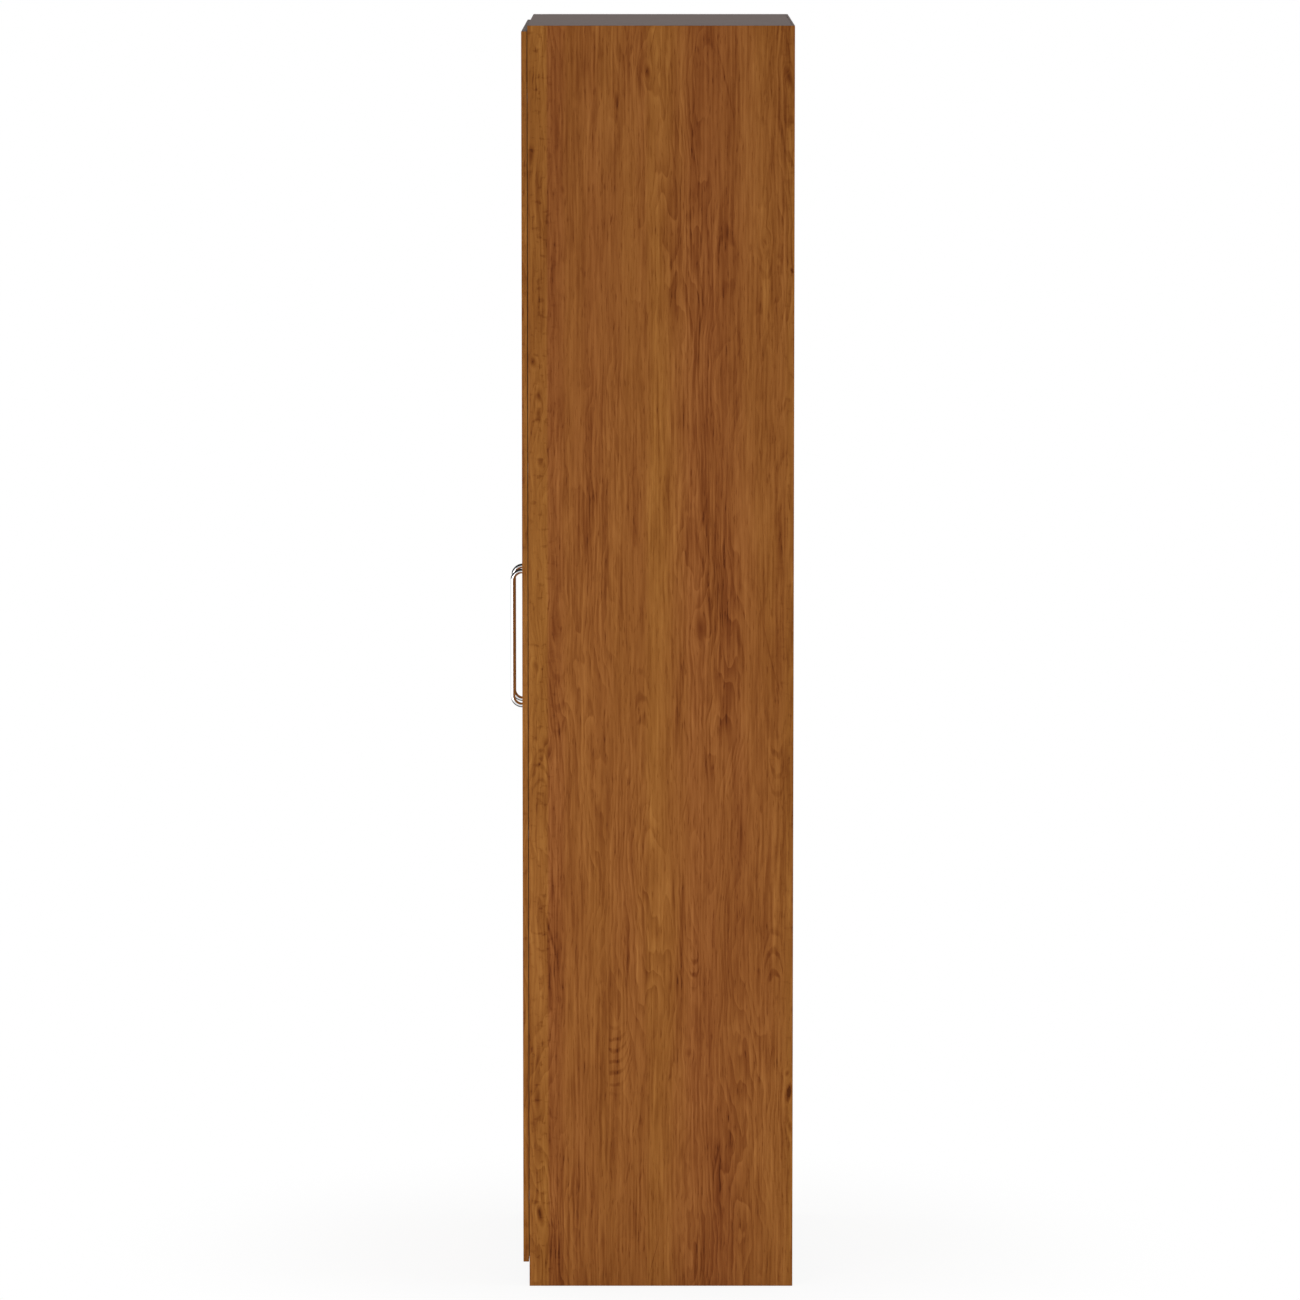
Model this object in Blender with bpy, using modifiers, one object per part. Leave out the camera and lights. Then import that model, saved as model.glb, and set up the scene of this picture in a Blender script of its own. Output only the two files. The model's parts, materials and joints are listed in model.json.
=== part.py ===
"""Tall narrow wardrobe with two hinged doors, as an assembly of separate pieces.

Metres, +Z up, front towards -Y. The origin is on the floor, in the middle of the whole outline.
Hinge and door positions are first worked out as u, the distance inwards from a side panel's outer face,
and v, the distance forwards from the carcass front, and then turned into x and y.
"""

import math

import bmesh
import bpy
from mathutils import Matrix, Vector

# Overall sizes
HEIGHT = 2.100
WIDTH = 0.645
CARCASS_DEPTH = 0.439

# Boards
BOARD = 0.016
BACK_BOARD = 0.004
EDGE_ROUND = 0.0008
FIT_GAP = 0.0003

# Base
KICK_HEIGHT = 0.045
PLINTH_RECESS = 0.030

# Doors
DOOR_THICKNESS = 0.0094
DOOR_GAP = 0.0008
DOOR_ABOVE_FLOOR = 0.041
DOOR_BELOW_TOP = 0.0095
DOOR_SIDE_REVEAL = 0.0005
DOOR_MIDDLE_GAP = 0.003

# Bow handles
HANDLE_CENTRES = 0.228
HANDLE_ROD = 0.008
HANDLE_PROJECTION = 0.0247
HANDLE_BEND = 0.016
HANDLE_FROM_MIDDLE = 0.043
HANDLE_BELOW_MIDDLE = 0.0078
HANDLE_BEND_STEPS = 10
HANDLE_RING_RESOLUTION = 6

# Handle screws
SCREW_SHANK = 0.004
SCREW_HEAD = 0.0085
SCREW_HEAD_HEIGHT = 0.0022
SCREW_IN_HANDLE = 0.007

# Concealed hinges
HINGES_PER_DOOR = 4
HINGE_FROM_DOOR_END = 0.110
HINGE_PIN = 0.0015
HINGE_PIN_PLAY = 0.00015
HINGE_EYE_WALL = 0.0005
SWING_CLEARANCE = 0.00025
CUP_DOOR_SKIN = 0.001
CUP_SHEET = 0.0005
CUP_CORNER = 0.0003
CUP_HEIGHT = 0.032
CUP_ROOM = 0.004
CUP_EDGE_ROOM = 0.0005
FLANGE_SHEET = 0.0008
FLANGE_EAR = 0.010
FLANGE_HOLE = 0.0035
ARM_SHEET = 0.0012
ARM_WIDTH = 0.016
ARM_REACH = 0.052
ARM_BEND = 0.002
PLATE_SHEET = 0.002
PLATE_HEIGHT = 0.046
PLATE_LENGTH = 0.034
PLATE_SETBACK = 0.014
PLATE_HOLE = 0.0042
PLATE_HOLE_FROM_END = 0.006

# Magnet catches
CATCH_FROM_MIDDLE = 0.062
CATCH_WIDTH = 0.046
CATCH_HEIGHT = 0.013
CATCH_DEPTH = 0.018
STRIKE_WIDTH = 0.038
STRIKE_HEIGHT = 0.011
STRIKE_SHEET = 0.0012

# Hat shelf, by the clear height above it, and its pins
HAT_SPACE = 0.298
SHELF_SETBACK = 0.022
PEG_DIAMETER = 0.005
PEG_IN_BOARD = 0.009
PEG_UNDER_SHELF = 0.009
PEG_COLLAR = 0.0085
PEG_COLLAR_SHEET = 0.001
PEG_FROM_SHELF_EDGE = 0.055
PEG_PITCH = 0.032
PEG_SPARE_ROWS = (-1, 0, 1)

# Hanging rail and its sockets
RAIL_TALL = 0.030
RAIL_THICK = 0.015
RAIL_WALL = 0.0012
RAIL_BELOW_SHELF = 0.062
SOCKET_WALL = 0.0025
SOCKET_BASE = 0.003
SOCKET_RECESS = 0.012
SOCKET_LIP = 0.007
SOCKET_LIP_SHEET = 0.003

# Meshing: sides of round shapes, how far cutters overrun, weld distance, sharpest smooth edge in degrees
ROUND_SIDES = 12
ARM_BEND_STEPS = 5
OVAL_END_STEPS = 8
CUT_PAST = 0.002
WELD = 1e-6
SMOOTH_UP_TO = 35

# Places that follow from the sizes above
TOTAL_DEPTH = CARCASS_DEPTH + DOOR_GAP + DOOR_THICKNESS + HANDLE_PROJECTION
BACK_Y = TOTAL_DEPTH / 2
FRONT_Y = BACK_Y - CARCASS_DEPTH
DOOR_BACK_Y = FRONT_Y - DOOR_GAP
DOOR_FRONT_Y = DOOR_BACK_Y - DOOR_THICKNESS
INNER_HALF = WIDTH / 2 - BOARD
BACK_FRONT_Y = BACK_Y - BACK_BOARD
FLOOR_OF_INSIDE = KICK_HEIGHT + BOARD
ROOF_OF_INSIDE = HEIGHT - BOARD
SHELF_UNDERSIDE = ROOF_OF_INSIDE - HAT_SPACE - BOARD
DOOR_LOW = DOOR_ABOVE_FLOOR
DOOR_HIGH = HEIGHT - DOOR_BELOW_TOP
HANDLE_Z = (DOOR_LOW + DOOR_HIGH) / 2 - HANDLE_BELOW_MIDDLE

# The hinge pivot lies as deep in the door as the cup lets it, and as near the door's edge as needed for
# the eased edge to swing past the side panel with SWING_CLEARANCE to spare. The cup's flange is let into
# the door, flush with its back.
EYE_BORE = HINGE_PIN / 2 + HINGE_PIN_PLAY
EYE_RADIUS = EYE_BORE + HINGE_EYE_WALL
CUP_FRONT_V = DOOR_GAP + DOOR_THICKNESS - CUP_DOOR_SKIN - FIT_GAP
CUP_RIM_V = DOOR_GAP
PIVOT_V = CUP_FRONT_V - CUP_SHEET - FIT_GAP - EYE_RADIUS
SWING_REACH = PIVOT_V - SWING_CLEARANCE - EDGE_ROUND
PIVOT_FROM_EDGE = EDGE_ROUND + math.sqrt(SWING_REACH ** 2 - (PIVOT_V - DOOR_GAP - EDGE_ROUND) ** 2)
PIVOT_U = DOOR_SIDE_REVEAL + PIVOT_FROM_EDGE
ARM_U = BOARD + FIT_GAP + PLATE_SHEET + FIT_GAP
CUP_LOW_U = PIVOT_U - EYE_RADIUS - CUP_EDGE_ROOM - CUP_SHEET
CUP_HIGH_U = ARM_U + ARM_SHEET + CUP_ROOM

# Colour, roughness and metallic value of each finish
FINISHES = {
    "wood": ((0.274, 0.102, 0.023), 0.45, 0.0),
    "grey_board": ((0.162, 0.136, 0.127), 0.6, 0.0),
    "fibreboard": ((0.36, 0.23, 0.12), 0.75, 0.0),
    "chrome": ((0.80, 0.80, 0.81), 0.08, 1.0),
    "plated_steel": ((0.62, 0.62, 0.61), 0.3, 1.0),
    "plastic": ((0.05, 0.045, 0.04), 0.5, 0.0),
}

SIDES = {"left": -1, "right": 1}


def clear_scene():
    for obj in list(bpy.data.objects):
        bpy.data.objects.remove(obj, do_unlink=True)
    for collection in list(bpy.data.collections):
        bpy.data.collections.remove(collection)


def new_collection(name):
    collection = bpy.data.collections.new(name)
    bpy.context.scene.collection.children.link(collection)
    return collection


clear_scene()
PARTS = new_collection("wardrobe")
CUTTERS = new_collection("wardrobe_cutters")


def x_at(side, u):
    """World x of a point u inwards from the outer face of a side panel."""
    return side * (WIDTH / 2 - u)


def y_at(v):
    """World y of a point v in front of the carcass."""
    return FRONT_Y - v


def make_carrier(name, place):
    """An empty that carries the pieces of one body."""
    carrier = bpy.data.objects.new(name, None)
    carrier.empty_display_size = 0.05
    carrier.location = place
    PARTS.objects.link(carrier)
    return carrier


def make_material(name, finish):
    colour, roughness, metallic = FINISHES[finish]
    material = bpy.data.materials.new(name + "_finish")
    material.use_nodes = True
    shader = material.node_tree.nodes["Principled BSDF"]
    shader.inputs["Base Color"].default_value = (*colour, 1.0)
    shader.inputs["Roughness"].default_value = roughness
    shader.inputs["Metallic"].default_value = metallic
    return material


def add_part(name, mesh, place, carrier, finish):
    """A named piece of the wardrobe, its origin at a world place, carried by a body's empty."""
    part = bpy.data.objects.new(name, mesh)
    PARTS.objects.link(part)
    part.parent = carrier
    part.location = Vector(place) - carrier.location
    if not mesh.materials:
        mesh.materials.append(None)
    part.material_slots[0].link = "OBJECT"
    part.material_slots[0].material = make_material(name, finish)
    return part


def add_cutter(name, mesh, place=(0, 0, 0)):
    cutter = bpy.data.objects.new(name, mesh)
    cutter.location = place
    cutter.hide_render = True
    cutter.display_type = "WIRE"
    CUTTERS.objects.link(cutter)
    return cutter


def combine(part, other, operation):
    modifier = part.modifiers.new(other.name, "BOOLEAN")
    modifier.operation = operation
    modifier.solver = "EXACT"
    modifier.object = other


def box_mesh(name, size):
    mesh = bpy.data.meshes.new(name)
    bm = bmesh.new()
    bmesh.ops.create_cube(bm, size=1.0)
    bmesh.ops.scale(bm, vec=size, verts=bm.verts)
    bm.to_mesh(mesh)
    bm.free()
    return mesh


def rod_mesh(name, radius, length, along):
    """A plain round bar about the origin, lying along X, Y or Z."""
    turn = {"X": Matrix.Rotation(math.pi / 2, 3, "Y"), "Y": Matrix.Rotation(math.pi / 2, 3, "X")}
    mesh = bpy.data.meshes.new(name)
    bm = bmesh.new()
    bmesh.ops.create_cone(
        bm, cap_ends=True, segments=ROUND_SIDES, radius1=radius, radius2=radius, depth=length
    )
    if along in turn:
        bmesh.ops.rotate(bm, matrix=turn[along], verts=bm.verts)
    bm.to_mesh(mesh)
    bm.free()
    return mesh


def shade_round(mesh):
    mesh.shade_smooth()
    mesh.set_sharp_from_angle(angle=math.radians(SMOOTH_UP_TO))
    return mesh


def middle_and_size(low, high):
    low, high = Vector(low), Vector(high)
    return (low + high) / 2, high - low


def box_cutter(name, low, high):
    middle, size = middle_and_size(low, high)
    return add_cutter(name, box_mesh(name, size), middle)


def add_board(name, low, high, carrier, finish, round_edge=EDGE_ROUND):
    """A sheet or board between two corners, with its edges eased."""
    middle, size = middle_and_size(low, high)
    part = add_part(name, box_mesh(name, size), middle, carrier, finish)
    bevel = part.modifiers.new("eased_edges", "BEVEL")
    bevel.width = round_edge
    bevel.segments = 2
    bevel.limit_method = "ANGLE"
    return part


def arc(middle, radius, start, end, steps):
    """Points of an arc between two angles in degrees, both ends included."""
    points = []
    for step in range(steps + 1):
        angle = math.radians(start + (end - start) * step / steps)
        points.append((middle[0] + radius * math.cos(angle), middle[1] + radius * math.sin(angle)))
    return points


def oval(tall, thick):
    """Closed outline of an upright oval with round ends, tall along its own x."""
    reach = (tall - thick) / 2
    upper = arc((reach, 0), thick / 2, -90, 90, OVAL_END_STEPS)
    return upper + arc((-reach, 0), thick / 2, 90, 270, OVAL_END_STEPS)


def mesh_of_curve(name, curve):
    """The welded, closed mesh of a curve, with its faces pointing out."""
    holder = bpy.data.objects.new(name + "_curve", curve)
    CUTTERS.objects.link(holder)
    bpy.context.view_layer.update()
    evaluated = holder.evaluated_get(bpy.context.evaluated_depsgraph_get())
    mesh = bpy.data.meshes.new_from_object(evaluated)
    mesh.name = name
    bpy.data.objects.remove(holder, do_unlink=True)
    bm = bmesh.new()
    bm.from_mesh(mesh)
    bmesh.ops.remove_doubles(bm, verts=bm.verts, dist=WELD)
    bmesh.ops.recalc_face_normals(bm, faces=bm.faces)
    bm.to_mesh(mesh)
    bm.free()
    return mesh


def add_spline(curve, points, closed):
    spline = curve.splines.new("POLY")
    spline.points.add(len(points) - 1)
    for point, place in zip(spline.points, points):
        x, y, z = (*place, 0.0)[:3]
        point.co = (x, y, z, 1.0)
    spline.use_cyclic_u = closed


def outline_mesh(name, outlines, thickness):
    """A flat outline, with its holes, given a thickness along Z about the origin."""
    curve = bpy.data.curves.new(name, "CURVE")
    curve.dimensions = "2D"
    curve.fill_mode = "BOTH"
    curve.extrude = thickness / 2
    for points in outlines:
        add_spline(curve, points, closed=True)
    return shade_round(mesh_of_curve(name, curve))


def turned_mesh(name, profile):
    """A solid turned about Z from a profile of (radius, height) points, given from its top to its bottom."""
    mesh = bpy.data.meshes.new(name)
    points = [(radius, 0.0, height) for radius, height in profile]
    edges = [(index, index + 1) for index in range(len(points) - 1)]
    mesh.from_pydata(points, edges, [])
    holder = add_cutter(name + "_turning", mesh)
    screw = holder.modifiers.new("turn", "SCREW")
    screw.steps = ROUND_SIDES
    screw.render_steps = ROUND_SIDES
    screw.use_merge_vertices = True
    screw.merge_threshold = WELD
    return shade_round(finished_mesh(name, holder))


def finished_mesh(name, holder):
    """The mesh of an object where it stands, with its modifiers, to be shared by every copy of the piece."""
    bpy.context.view_layer.update()
    evaluated = holder.evaluated_get(bpy.context.evaluated_depsgraph_get())
    mesh = bpy.data.meshes.new_from_object(evaluated)
    mesh.transform(holder.matrix_world)
    mesh.name = name
    bpy.data.objects.remove(holder, do_unlink=True)
    return mesh


def build_carcass(carcass):
    """Side, top, bottom and back panels and the plinth board."""
    for label, side in SIDES.items():
        xs = sorted((side * INNER_HALF, side * WIDTH / 2))
        panel = add_board(
            label + "_side_panel", (xs[0], FRONT_Y, 0), (xs[1], BACK_Y, HEIGHT), carcass, "wood"
        )
        cut_peg_holes(panel, label, side)
    reach = INNER_HALF - FIT_GAP
    rear = BACK_FRONT_Y - FIT_GAP
    add_board(
        "top_panel", (-reach, FRONT_Y, ROOF_OF_INSIDE), (reach, rear, HEIGHT), carcass, "grey_board"
    )
    add_board(
        "bottom_panel", (-reach, FRONT_Y, KICK_HEIGHT), (reach, rear, FLOOR_OF_INSIDE), carcass, "grey_board"
    )
    add_board(
        "back_panel", (-reach, BACK_FRONT_Y, KICK_HEIGHT), (reach, BACK_Y, HEIGHT), carcass, "fibreboard"
    )
    plinth_y = FRONT_Y + PLINTH_RECESS
    add_board(
        "plinth_board",
        (-reach, plinth_y, 0),
        (reach, plinth_y + BOARD, KICK_HEIGHT - FIT_GAP),
        carcass,
        "wood",
    )


def peg_places():
    """Front and rear place of the shelf pins, by name, as y."""
    return {
        "front": FRONT_Y + SHELF_SETBACK + PEG_FROM_SHELF_EDGE,
        "rear": BACK_FRONT_Y - PEG_FROM_SHELF_EDGE,
    }


def peg_axis_z():
    return SHELF_UNDERSIDE - FIT_GAP - PEG_DIAMETER / 2


def cut_peg_holes(panel, label, side):
    """Two rows of shelf-pin holes, with spare holes above and below for moving the shelf."""
    depth = PEG_IN_BOARD + FIT_GAP
    hole = rod_mesh("peg_hole", PEG_DIAMETER / 2 + FIT_GAP, depth + CUT_PAST, "X")
    x = side * (INNER_HALF + (depth - CUT_PAST) / 2)
    for row, y in peg_places().items():
        for step in PEG_SPARE_ROWS:
            name = "{}_peg_hole_{}_{}".format(label, row, step)
            combine(panel, add_cutter(name, hole, (x, y, peg_axis_z() + step * PEG_PITCH)), "DIFFERENCE")


def build_shelf(carcass):
    reach = INNER_HALF - FIT_GAP - PEG_COLLAR_SHEET - FIT_GAP
    low = (-reach, FRONT_Y + SHELF_SETBACK, SHELF_UNDERSIDE)
    high = (reach, BACK_FRONT_Y - FIT_GAP, SHELF_UNDERSIDE + BOARD)
    add_board("hat_shelf", low, high, carcass, "grey_board")
    peg = PEG_DIAMETER / 2
    collar = PEG_COLLAR / 2
    collar_top = PEG_COLLAR_SHEET + FIT_GAP
    profile = [
        (0, PEG_UNDER_SHELF),
        (peg, PEG_UNDER_SHELF),
        (peg, collar_top),
        (collar, collar_top),
        (collar, FIT_GAP),
        (peg, FIT_GAP),
        (peg, -PEG_IN_BOARD),
        (0, -PEG_IN_BOARD),
    ]
    mesh = turned_mesh("shelf_pin", profile)
    for label, side in SIDES.items():
        for row, y in peg_places().items():
            name = "{}_{}_shelf_pin".format(label, row)
            place = (side * INNER_HALF, y, peg_axis_z())
            pin = add_part(name, mesh, place, carcass, "plated_steel")
            pin.rotation_euler = (0, -side * math.pi / 2, 0)


def build_rail(carcass):
    """Oval hanging rail across the inside, held at each end in a socket on the side panel."""
    y = (FRONT_Y + BACK_FRONT_Y) / 2
    z = SHELF_UNDERSIDE - RAIL_BELOW_SHELF
    length = 2 * (INNER_HALF - FIT_GAP - SOCKET_BASE - FIT_GAP)
    bore = oval(RAIL_TALL - 2 * RAIL_WALL, RAIL_THICK - 2 * RAIL_WALL)
    mesh = outline_mesh("hanging_rail", [oval(RAIL_TALL, RAIL_THICK), bore], length)
    rail = add_part("hanging_rail", mesh, (0, y, z), carcass, "chrome")
    rail.rotation_euler = (0, math.pi / 2, 0)

    inside = 2 * FIT_GAP
    outside = inside + 2 * SOCKET_WALL
    lip = outside + 2 * SOCKET_LIP
    depth = SOCKET_BASE + SOCKET_RECESS
    body = outline_mesh("socket_body", [oval(RAIL_TALL + outside, RAIL_THICK + outside)], depth)
    holder = add_cutter("rail_socket", body, (0, 0, depth / 2))
    lip_mesh = outline_mesh("socket_lip", [oval(RAIL_TALL + lip, RAIL_THICK + lip)], SOCKET_LIP_SHEET)
    combine(holder, add_cutter("socket_lip", lip_mesh, (0, 0, SOCKET_LIP_SHEET / 2)), "UNION")
    recess = outline_mesh(
        "socket_recess", [oval(RAIL_TALL + inside, RAIL_THICK + inside)], SOCKET_RECESS + CUT_PAST
    )
    recess_z = SOCKET_BASE + (SOCKET_RECESS + CUT_PAST) / 2
    combine(holder, add_cutter("socket_recess", recess, (0, 0, recess_z)), "DIFFERENCE")
    socket = finished_mesh("rail_socket", holder)
    for label, side in SIDES.items():
        place = (side * (INNER_HALF - FIT_GAP), y, z)
        part = add_part(label + "_rail_socket", socket, place, carcass, "plated_steel")
        part.rotation_euler = (0, -side * math.pi / 2, 0)


def handle_zs():
    """Heights of the lower and upper end of a handle, by name."""
    return {
        "lower": HANDLE_Z - HANDLE_CENTRES / 2,
        "upper": HANDLE_Z + HANDLE_CENTRES / 2,
    }


def handle_route():
    """Middle line of a handle from its lower end to its upper end, about its middle at the door front."""
    half = HANDLE_CENTRES / 2
    out = HANDLE_PROJECTION - HANDLE_ROD / 2
    lower = arc((HANDLE_BEND - out, HANDLE_BEND - half), HANDLE_BEND, 270, 180, HANDLE_BEND_STEPS)
    upper = arc((HANDLE_BEND - out, half - HANDLE_BEND), HANDLE_BEND, 180, 90, HANDLE_BEND_STEPS)
    route = [(-FIT_GAP, -half)] + lower + upper + [(-FIT_GAP, half)]
    return [(0.0, y, z) for y, z in route]


def handle_mesh():
    """A bent round bar with a screw hole in each end."""
    curve = bpy.data.curves.new("bow_handle", "CURVE")
    curve.dimensions = "3D"
    curve.bevel_depth = HANDLE_ROD / 2
    curve.bevel_resolution = HANDLE_RING_RESOLUTION
    curve.use_fill_caps = True
    add_spline(curve, handle_route(), closed=False)
    holder = add_cutter("bow_handle", mesh_of_curve("bow_handle", curve))
    depth = SCREW_IN_HANDLE + FIT_GAP
    hole = rod_mesh("handle_hole", SCREW_SHANK / 2 + FIT_GAP, depth + CUT_PAST, "Y")
    for label, z in handle_zs().items():
        place = (0, (CUT_PAST - depth) / 2, z - HANDLE_Z)
        combine(holder, add_cutter("handle_hole_" + label, hole, place), "DIFFERENCE")
    return shade_round(finished_mesh("bow_handle", holder))


def handle_screw_mesh():
    """A screw along Z, its head resting at z = 0 and its shank above."""
    shank = SCREW_SHANK / 2
    head = SCREW_HEAD / 2
    reach = FIT_GAP + DOOR_THICKNESS + SCREW_IN_HANDLE
    profile = [(0, reach), (shank, reach), (shank, 0), (head, 0), (head, -SCREW_HEAD_HEIGHT)]
    return turned_mesh("handle_screw", profile + [(0, -SCREW_HEAD_HEIGHT)])


def hinge_zs():
    """Heights of a door's hinges, evenly spaced from the lowest to the highest."""
    lowest = DOOR_LOW + HINGE_FROM_DOOR_END
    pitch = (DOOR_HIGH - DOOR_LOW - 2 * HINGE_FROM_DOOR_END) / (HINGES_PER_DOOR - 1)
    return [lowest + index * pitch for index in range(HINGES_PER_DOOR)]


def cut_hinge_pockets(door, label, side):
    """A pocket in the back of the door for each hinge cup, with a shallow one for the cup's flange."""
    half = CUP_HEIGHT / 2 + FIT_GAP
    pockets = {
        "cup": (CUP_LOW_U - FIT_GAP, CUP_FRONT_V + FIT_GAP, half),
        "flange": (PIVOT_U - FIT_GAP, CUP_RIM_V + FLANGE_SHEET + FIT_GAP, half + FLANGE_EAR),
    }
    for number, z in enumerate(hinge_zs(), 1):
        for pocket, (low_u, front_v, reach) in pockets.items():
            xs = sorted((x_at(side, low_u), x_at(side, CUP_HIGH_U + FIT_GAP)))
            low = (xs[0], y_at(front_v), z - reach)
            high = (xs[1], DOOR_BACK_Y + CUT_PAST, z + reach)
            name = "{}_{}_pocket_{}".format(label, pocket, number)
            combine(door, box_cutter(name, low, high), "DIFFERENCE")


def build_door(label, side, axis, handle, screw):
    """A slab door with its handle and handle screws."""
    xs = sorted((side * DOOR_MIDDLE_GAP / 2, x_at(side, DOOR_SIDE_REVEAL)))
    low = (xs[0], DOOR_FRONT_Y, DOOR_LOW)
    high = (xs[1], DOOR_BACK_Y, DOOR_HIGH)
    door = add_board(label + "_door", low, high, axis, "wood")
    cut_hinge_pockets(door, label, side)

    x = side * HANDLE_FROM_MIDDLE
    add_part(label + "_handle", handle, (x, DOOR_FRONT_Y, HANDLE_Z), axis, "chrome")
    hole = rod_mesh("screw_hole", SCREW_SHANK / 2 + FIT_GAP, DOOR_THICKNESS + 2 * CUT_PAST, "Y")
    for end, z in handle_zs().items():
        name = "{}_{}_handle_screw".format(label, end)
        cutter = add_cutter(name + "_hole", hole, (x, (DOOR_FRONT_Y + DOOR_BACK_Y) / 2, z))
        combine(door, cutter, "DIFFERENCE")
        part = add_part(name, screw, (x, DOOR_BACK_Y + FIT_GAP, z), axis, "plated_steel")
        part.rotation_euler = (math.pi / 2, 0, 0)


def cup_mesh(side):
    """Pressed hinge cup with two screw ears, about the pivot, for one side of the wardrobe."""
    def local_box(name, low_u, high_u, low_v, high_v, half_z):
        xs = sorted((-side * (low_u - PIVOT_U), -side * (high_u - PIVOT_U)))
        low = (xs[0], PIVOT_V - high_v, -half_z)
        high = (xs[1], PIVOT_V - low_v, half_z)
        return box_cutter(name, low, high)

    half = CUP_HEIGHT / 2
    holder = local_box("hinge_cup", CUP_LOW_U, CUP_HIGH_U, CUP_RIM_V, CUP_FRONT_V, half)
    bevel = holder.modifiers.new("rounded_corners", "BEVEL")
    bevel.width = CUP_CORNER
    bevel.segments = 1
    ear = half + FLANGE_EAR
    flange = local_box("hinge_flange", PIVOT_U, CUP_HIGH_U, CUP_RIM_V, CUP_RIM_V + FLANGE_SHEET, ear)
    combine(holder, flange, "UNION")
    inside = local_box(
        "cup_inside",
        CUP_LOW_U + CUP_SHEET,
        CUP_HIGH_U - CUP_SHEET,
        CUP_RIM_V - CUT_PAST,
        CUP_FRONT_V - CUP_SHEET,
        half - CUP_SHEET,
    )
    combine(holder, inside, "DIFFERENCE")
    pin_hole = rod_mesh("pin_hole", EYE_BORE, CUP_HEIGHT + 2 * CUT_PAST, "Z")
    combine(holder, add_cutter("pin_hole", pin_hole), "DIFFERENCE")
    ear_hole = rod_mesh("ear_hole", FLANGE_HOLE / 2, FLANGE_SHEET + 2 * CUT_PAST, "Y")
    ear_x = -side * ((PIVOT_U + CUP_HIGH_U) / 2 - PIVOT_U)
    ear_y = PIVOT_V - CUP_RIM_V - FLANGE_SHEET / 2
    for end in (-1, 1):
        place = (ear_x, ear_y, end * (half + FLANGE_EAR / 2))
        combine(holder, add_cutter("ear_hole_{}".format(end), ear_hole, place), "DIFFERENCE")
    return finished_mesh("hinge_cup", holder)


def arm_mesh(side):
    """Cranked hinge arm about the pivot: an eye round the pin, a blade inwards, a leg along the panel."""
    half = ARM_SHEET / 2
    meet = math.degrees(math.asin(half / EYE_RADIUS))
    leg = ARM_U - PIVOT_U
    inner = (leg - ARM_BEND, -half - ARM_BEND)
    end = -PIVOT_V - ARM_REACH
    outline = arc((0, 0), EYE_RADIUS, meet, 360 - meet, ROUND_SIDES)
    outline += arc(inner, ARM_BEND, 90, 0, ARM_BEND_STEPS)
    outline += [(leg, end), (leg + ARM_SHEET, end)]
    outline += arc(inner, ARM_BEND + ARM_SHEET, 0, 90, ARM_BEND_STEPS)
    bore = arc((0, 0), EYE_BORE, 0, 360, ROUND_SIDES)[:-1]
    turned = [[(-side * u, -v) for u, v in points] for points in (outline, bore)]
    return outline_mesh("hinge_arm", turned, ARM_WIDTH)


def plate_mesh():
    """Mounting plate with a screw hole near its top and its bottom."""
    holder = add_cutter("hinge_plate", box_mesh("hinge_plate", (PLATE_SHEET, PLATE_LENGTH, PLATE_HEIGHT)))
    bevel = holder.modifiers.new("eased_edges", "BEVEL")
    bevel.width = PLATE_SHEET / 4
    bevel.segments = 1
    hole = rod_mesh("plate_hole", PLATE_HOLE / 2, PLATE_SHEET + 2 * CUT_PAST, "X")
    for end in (-1, 1):
        place = (0, 0, end * (PLATE_HEIGHT / 2 - PLATE_HOLE_FROM_END))
        combine(holder, add_cutter("plate_hole_{}".format(end), hole, place), "DIFFERENCE")
    return finished_mesh("hinge_plate", holder)


def build_hinges(label, side, carcass, axis, plate):
    """Every hinge of one door: cup and pin on the door, arm and plate on the carcass."""
    cup = cup_mesh(side)
    arm = arm_mesh(side)
    pin = shade_round(rod_mesh("hinge_pin", HINGE_PIN / 2, CUP_HEIGHT - 2 * FIT_GAP, "Z"))
    x, y = x_at(side, PIVOT_U), y_at(PIVOT_V)
    plate_x = x_at(side, BOARD + FIT_GAP + PLATE_SHEET / 2)
    plate_y = FRONT_Y + PLATE_SETBACK + PLATE_LENGTH / 2
    for number, z in enumerate(hinge_zs(), 1):
        add_part("{}_hinge_cup_{}".format(label, number), cup, (x, y, z), axis, "plated_steel")
        add_part("{}_hinge_pin_{}".format(label, number), pin, (x, y, z), axis, "plated_steel")
        add_part("{}_hinge_arm_{}".format(label, number), arm, (x, y, z), carcass, "plated_steel")
        place = (plate_x, plate_y, z)
        add_part("{}_hinge_plate_{}".format(label, number), plate, place, carcass, "plated_steel")


def build_catch(label, side, carcass, axis):
    """Magnet catch under the top panel and the strike plate that meets it on the door."""
    x = side * CATCH_FROM_MIDDLE
    high_z = ROOF_OF_INSIDE - FIT_GAP
    middle_z = high_z - CATCH_HEIGHT / 2
    strike_back_y = DOOR_BACK_Y + FIT_GAP + STRIKE_SHEET
    catch_y = strike_back_y + FIT_GAP
    add_board(
        label + "_magnet_catch",
        (x - CATCH_WIDTH / 2, catch_y, high_z - CATCH_HEIGHT),
        (x + CATCH_WIDTH / 2, catch_y + CATCH_DEPTH, high_z),
        carcass,
        "plastic",
    )
    add_board(
        label + "_strike_plate",
        (x - STRIKE_WIDTH / 2, strike_back_y - STRIKE_SHEET, middle_z - STRIKE_HEIGHT / 2),
        (x + STRIKE_WIDTH / 2, strike_back_y, middle_z + STRIKE_HEIGHT / 2),
        axis,
        "plated_steel",
        round_edge=STRIKE_SHEET / 4,
    )


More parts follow.
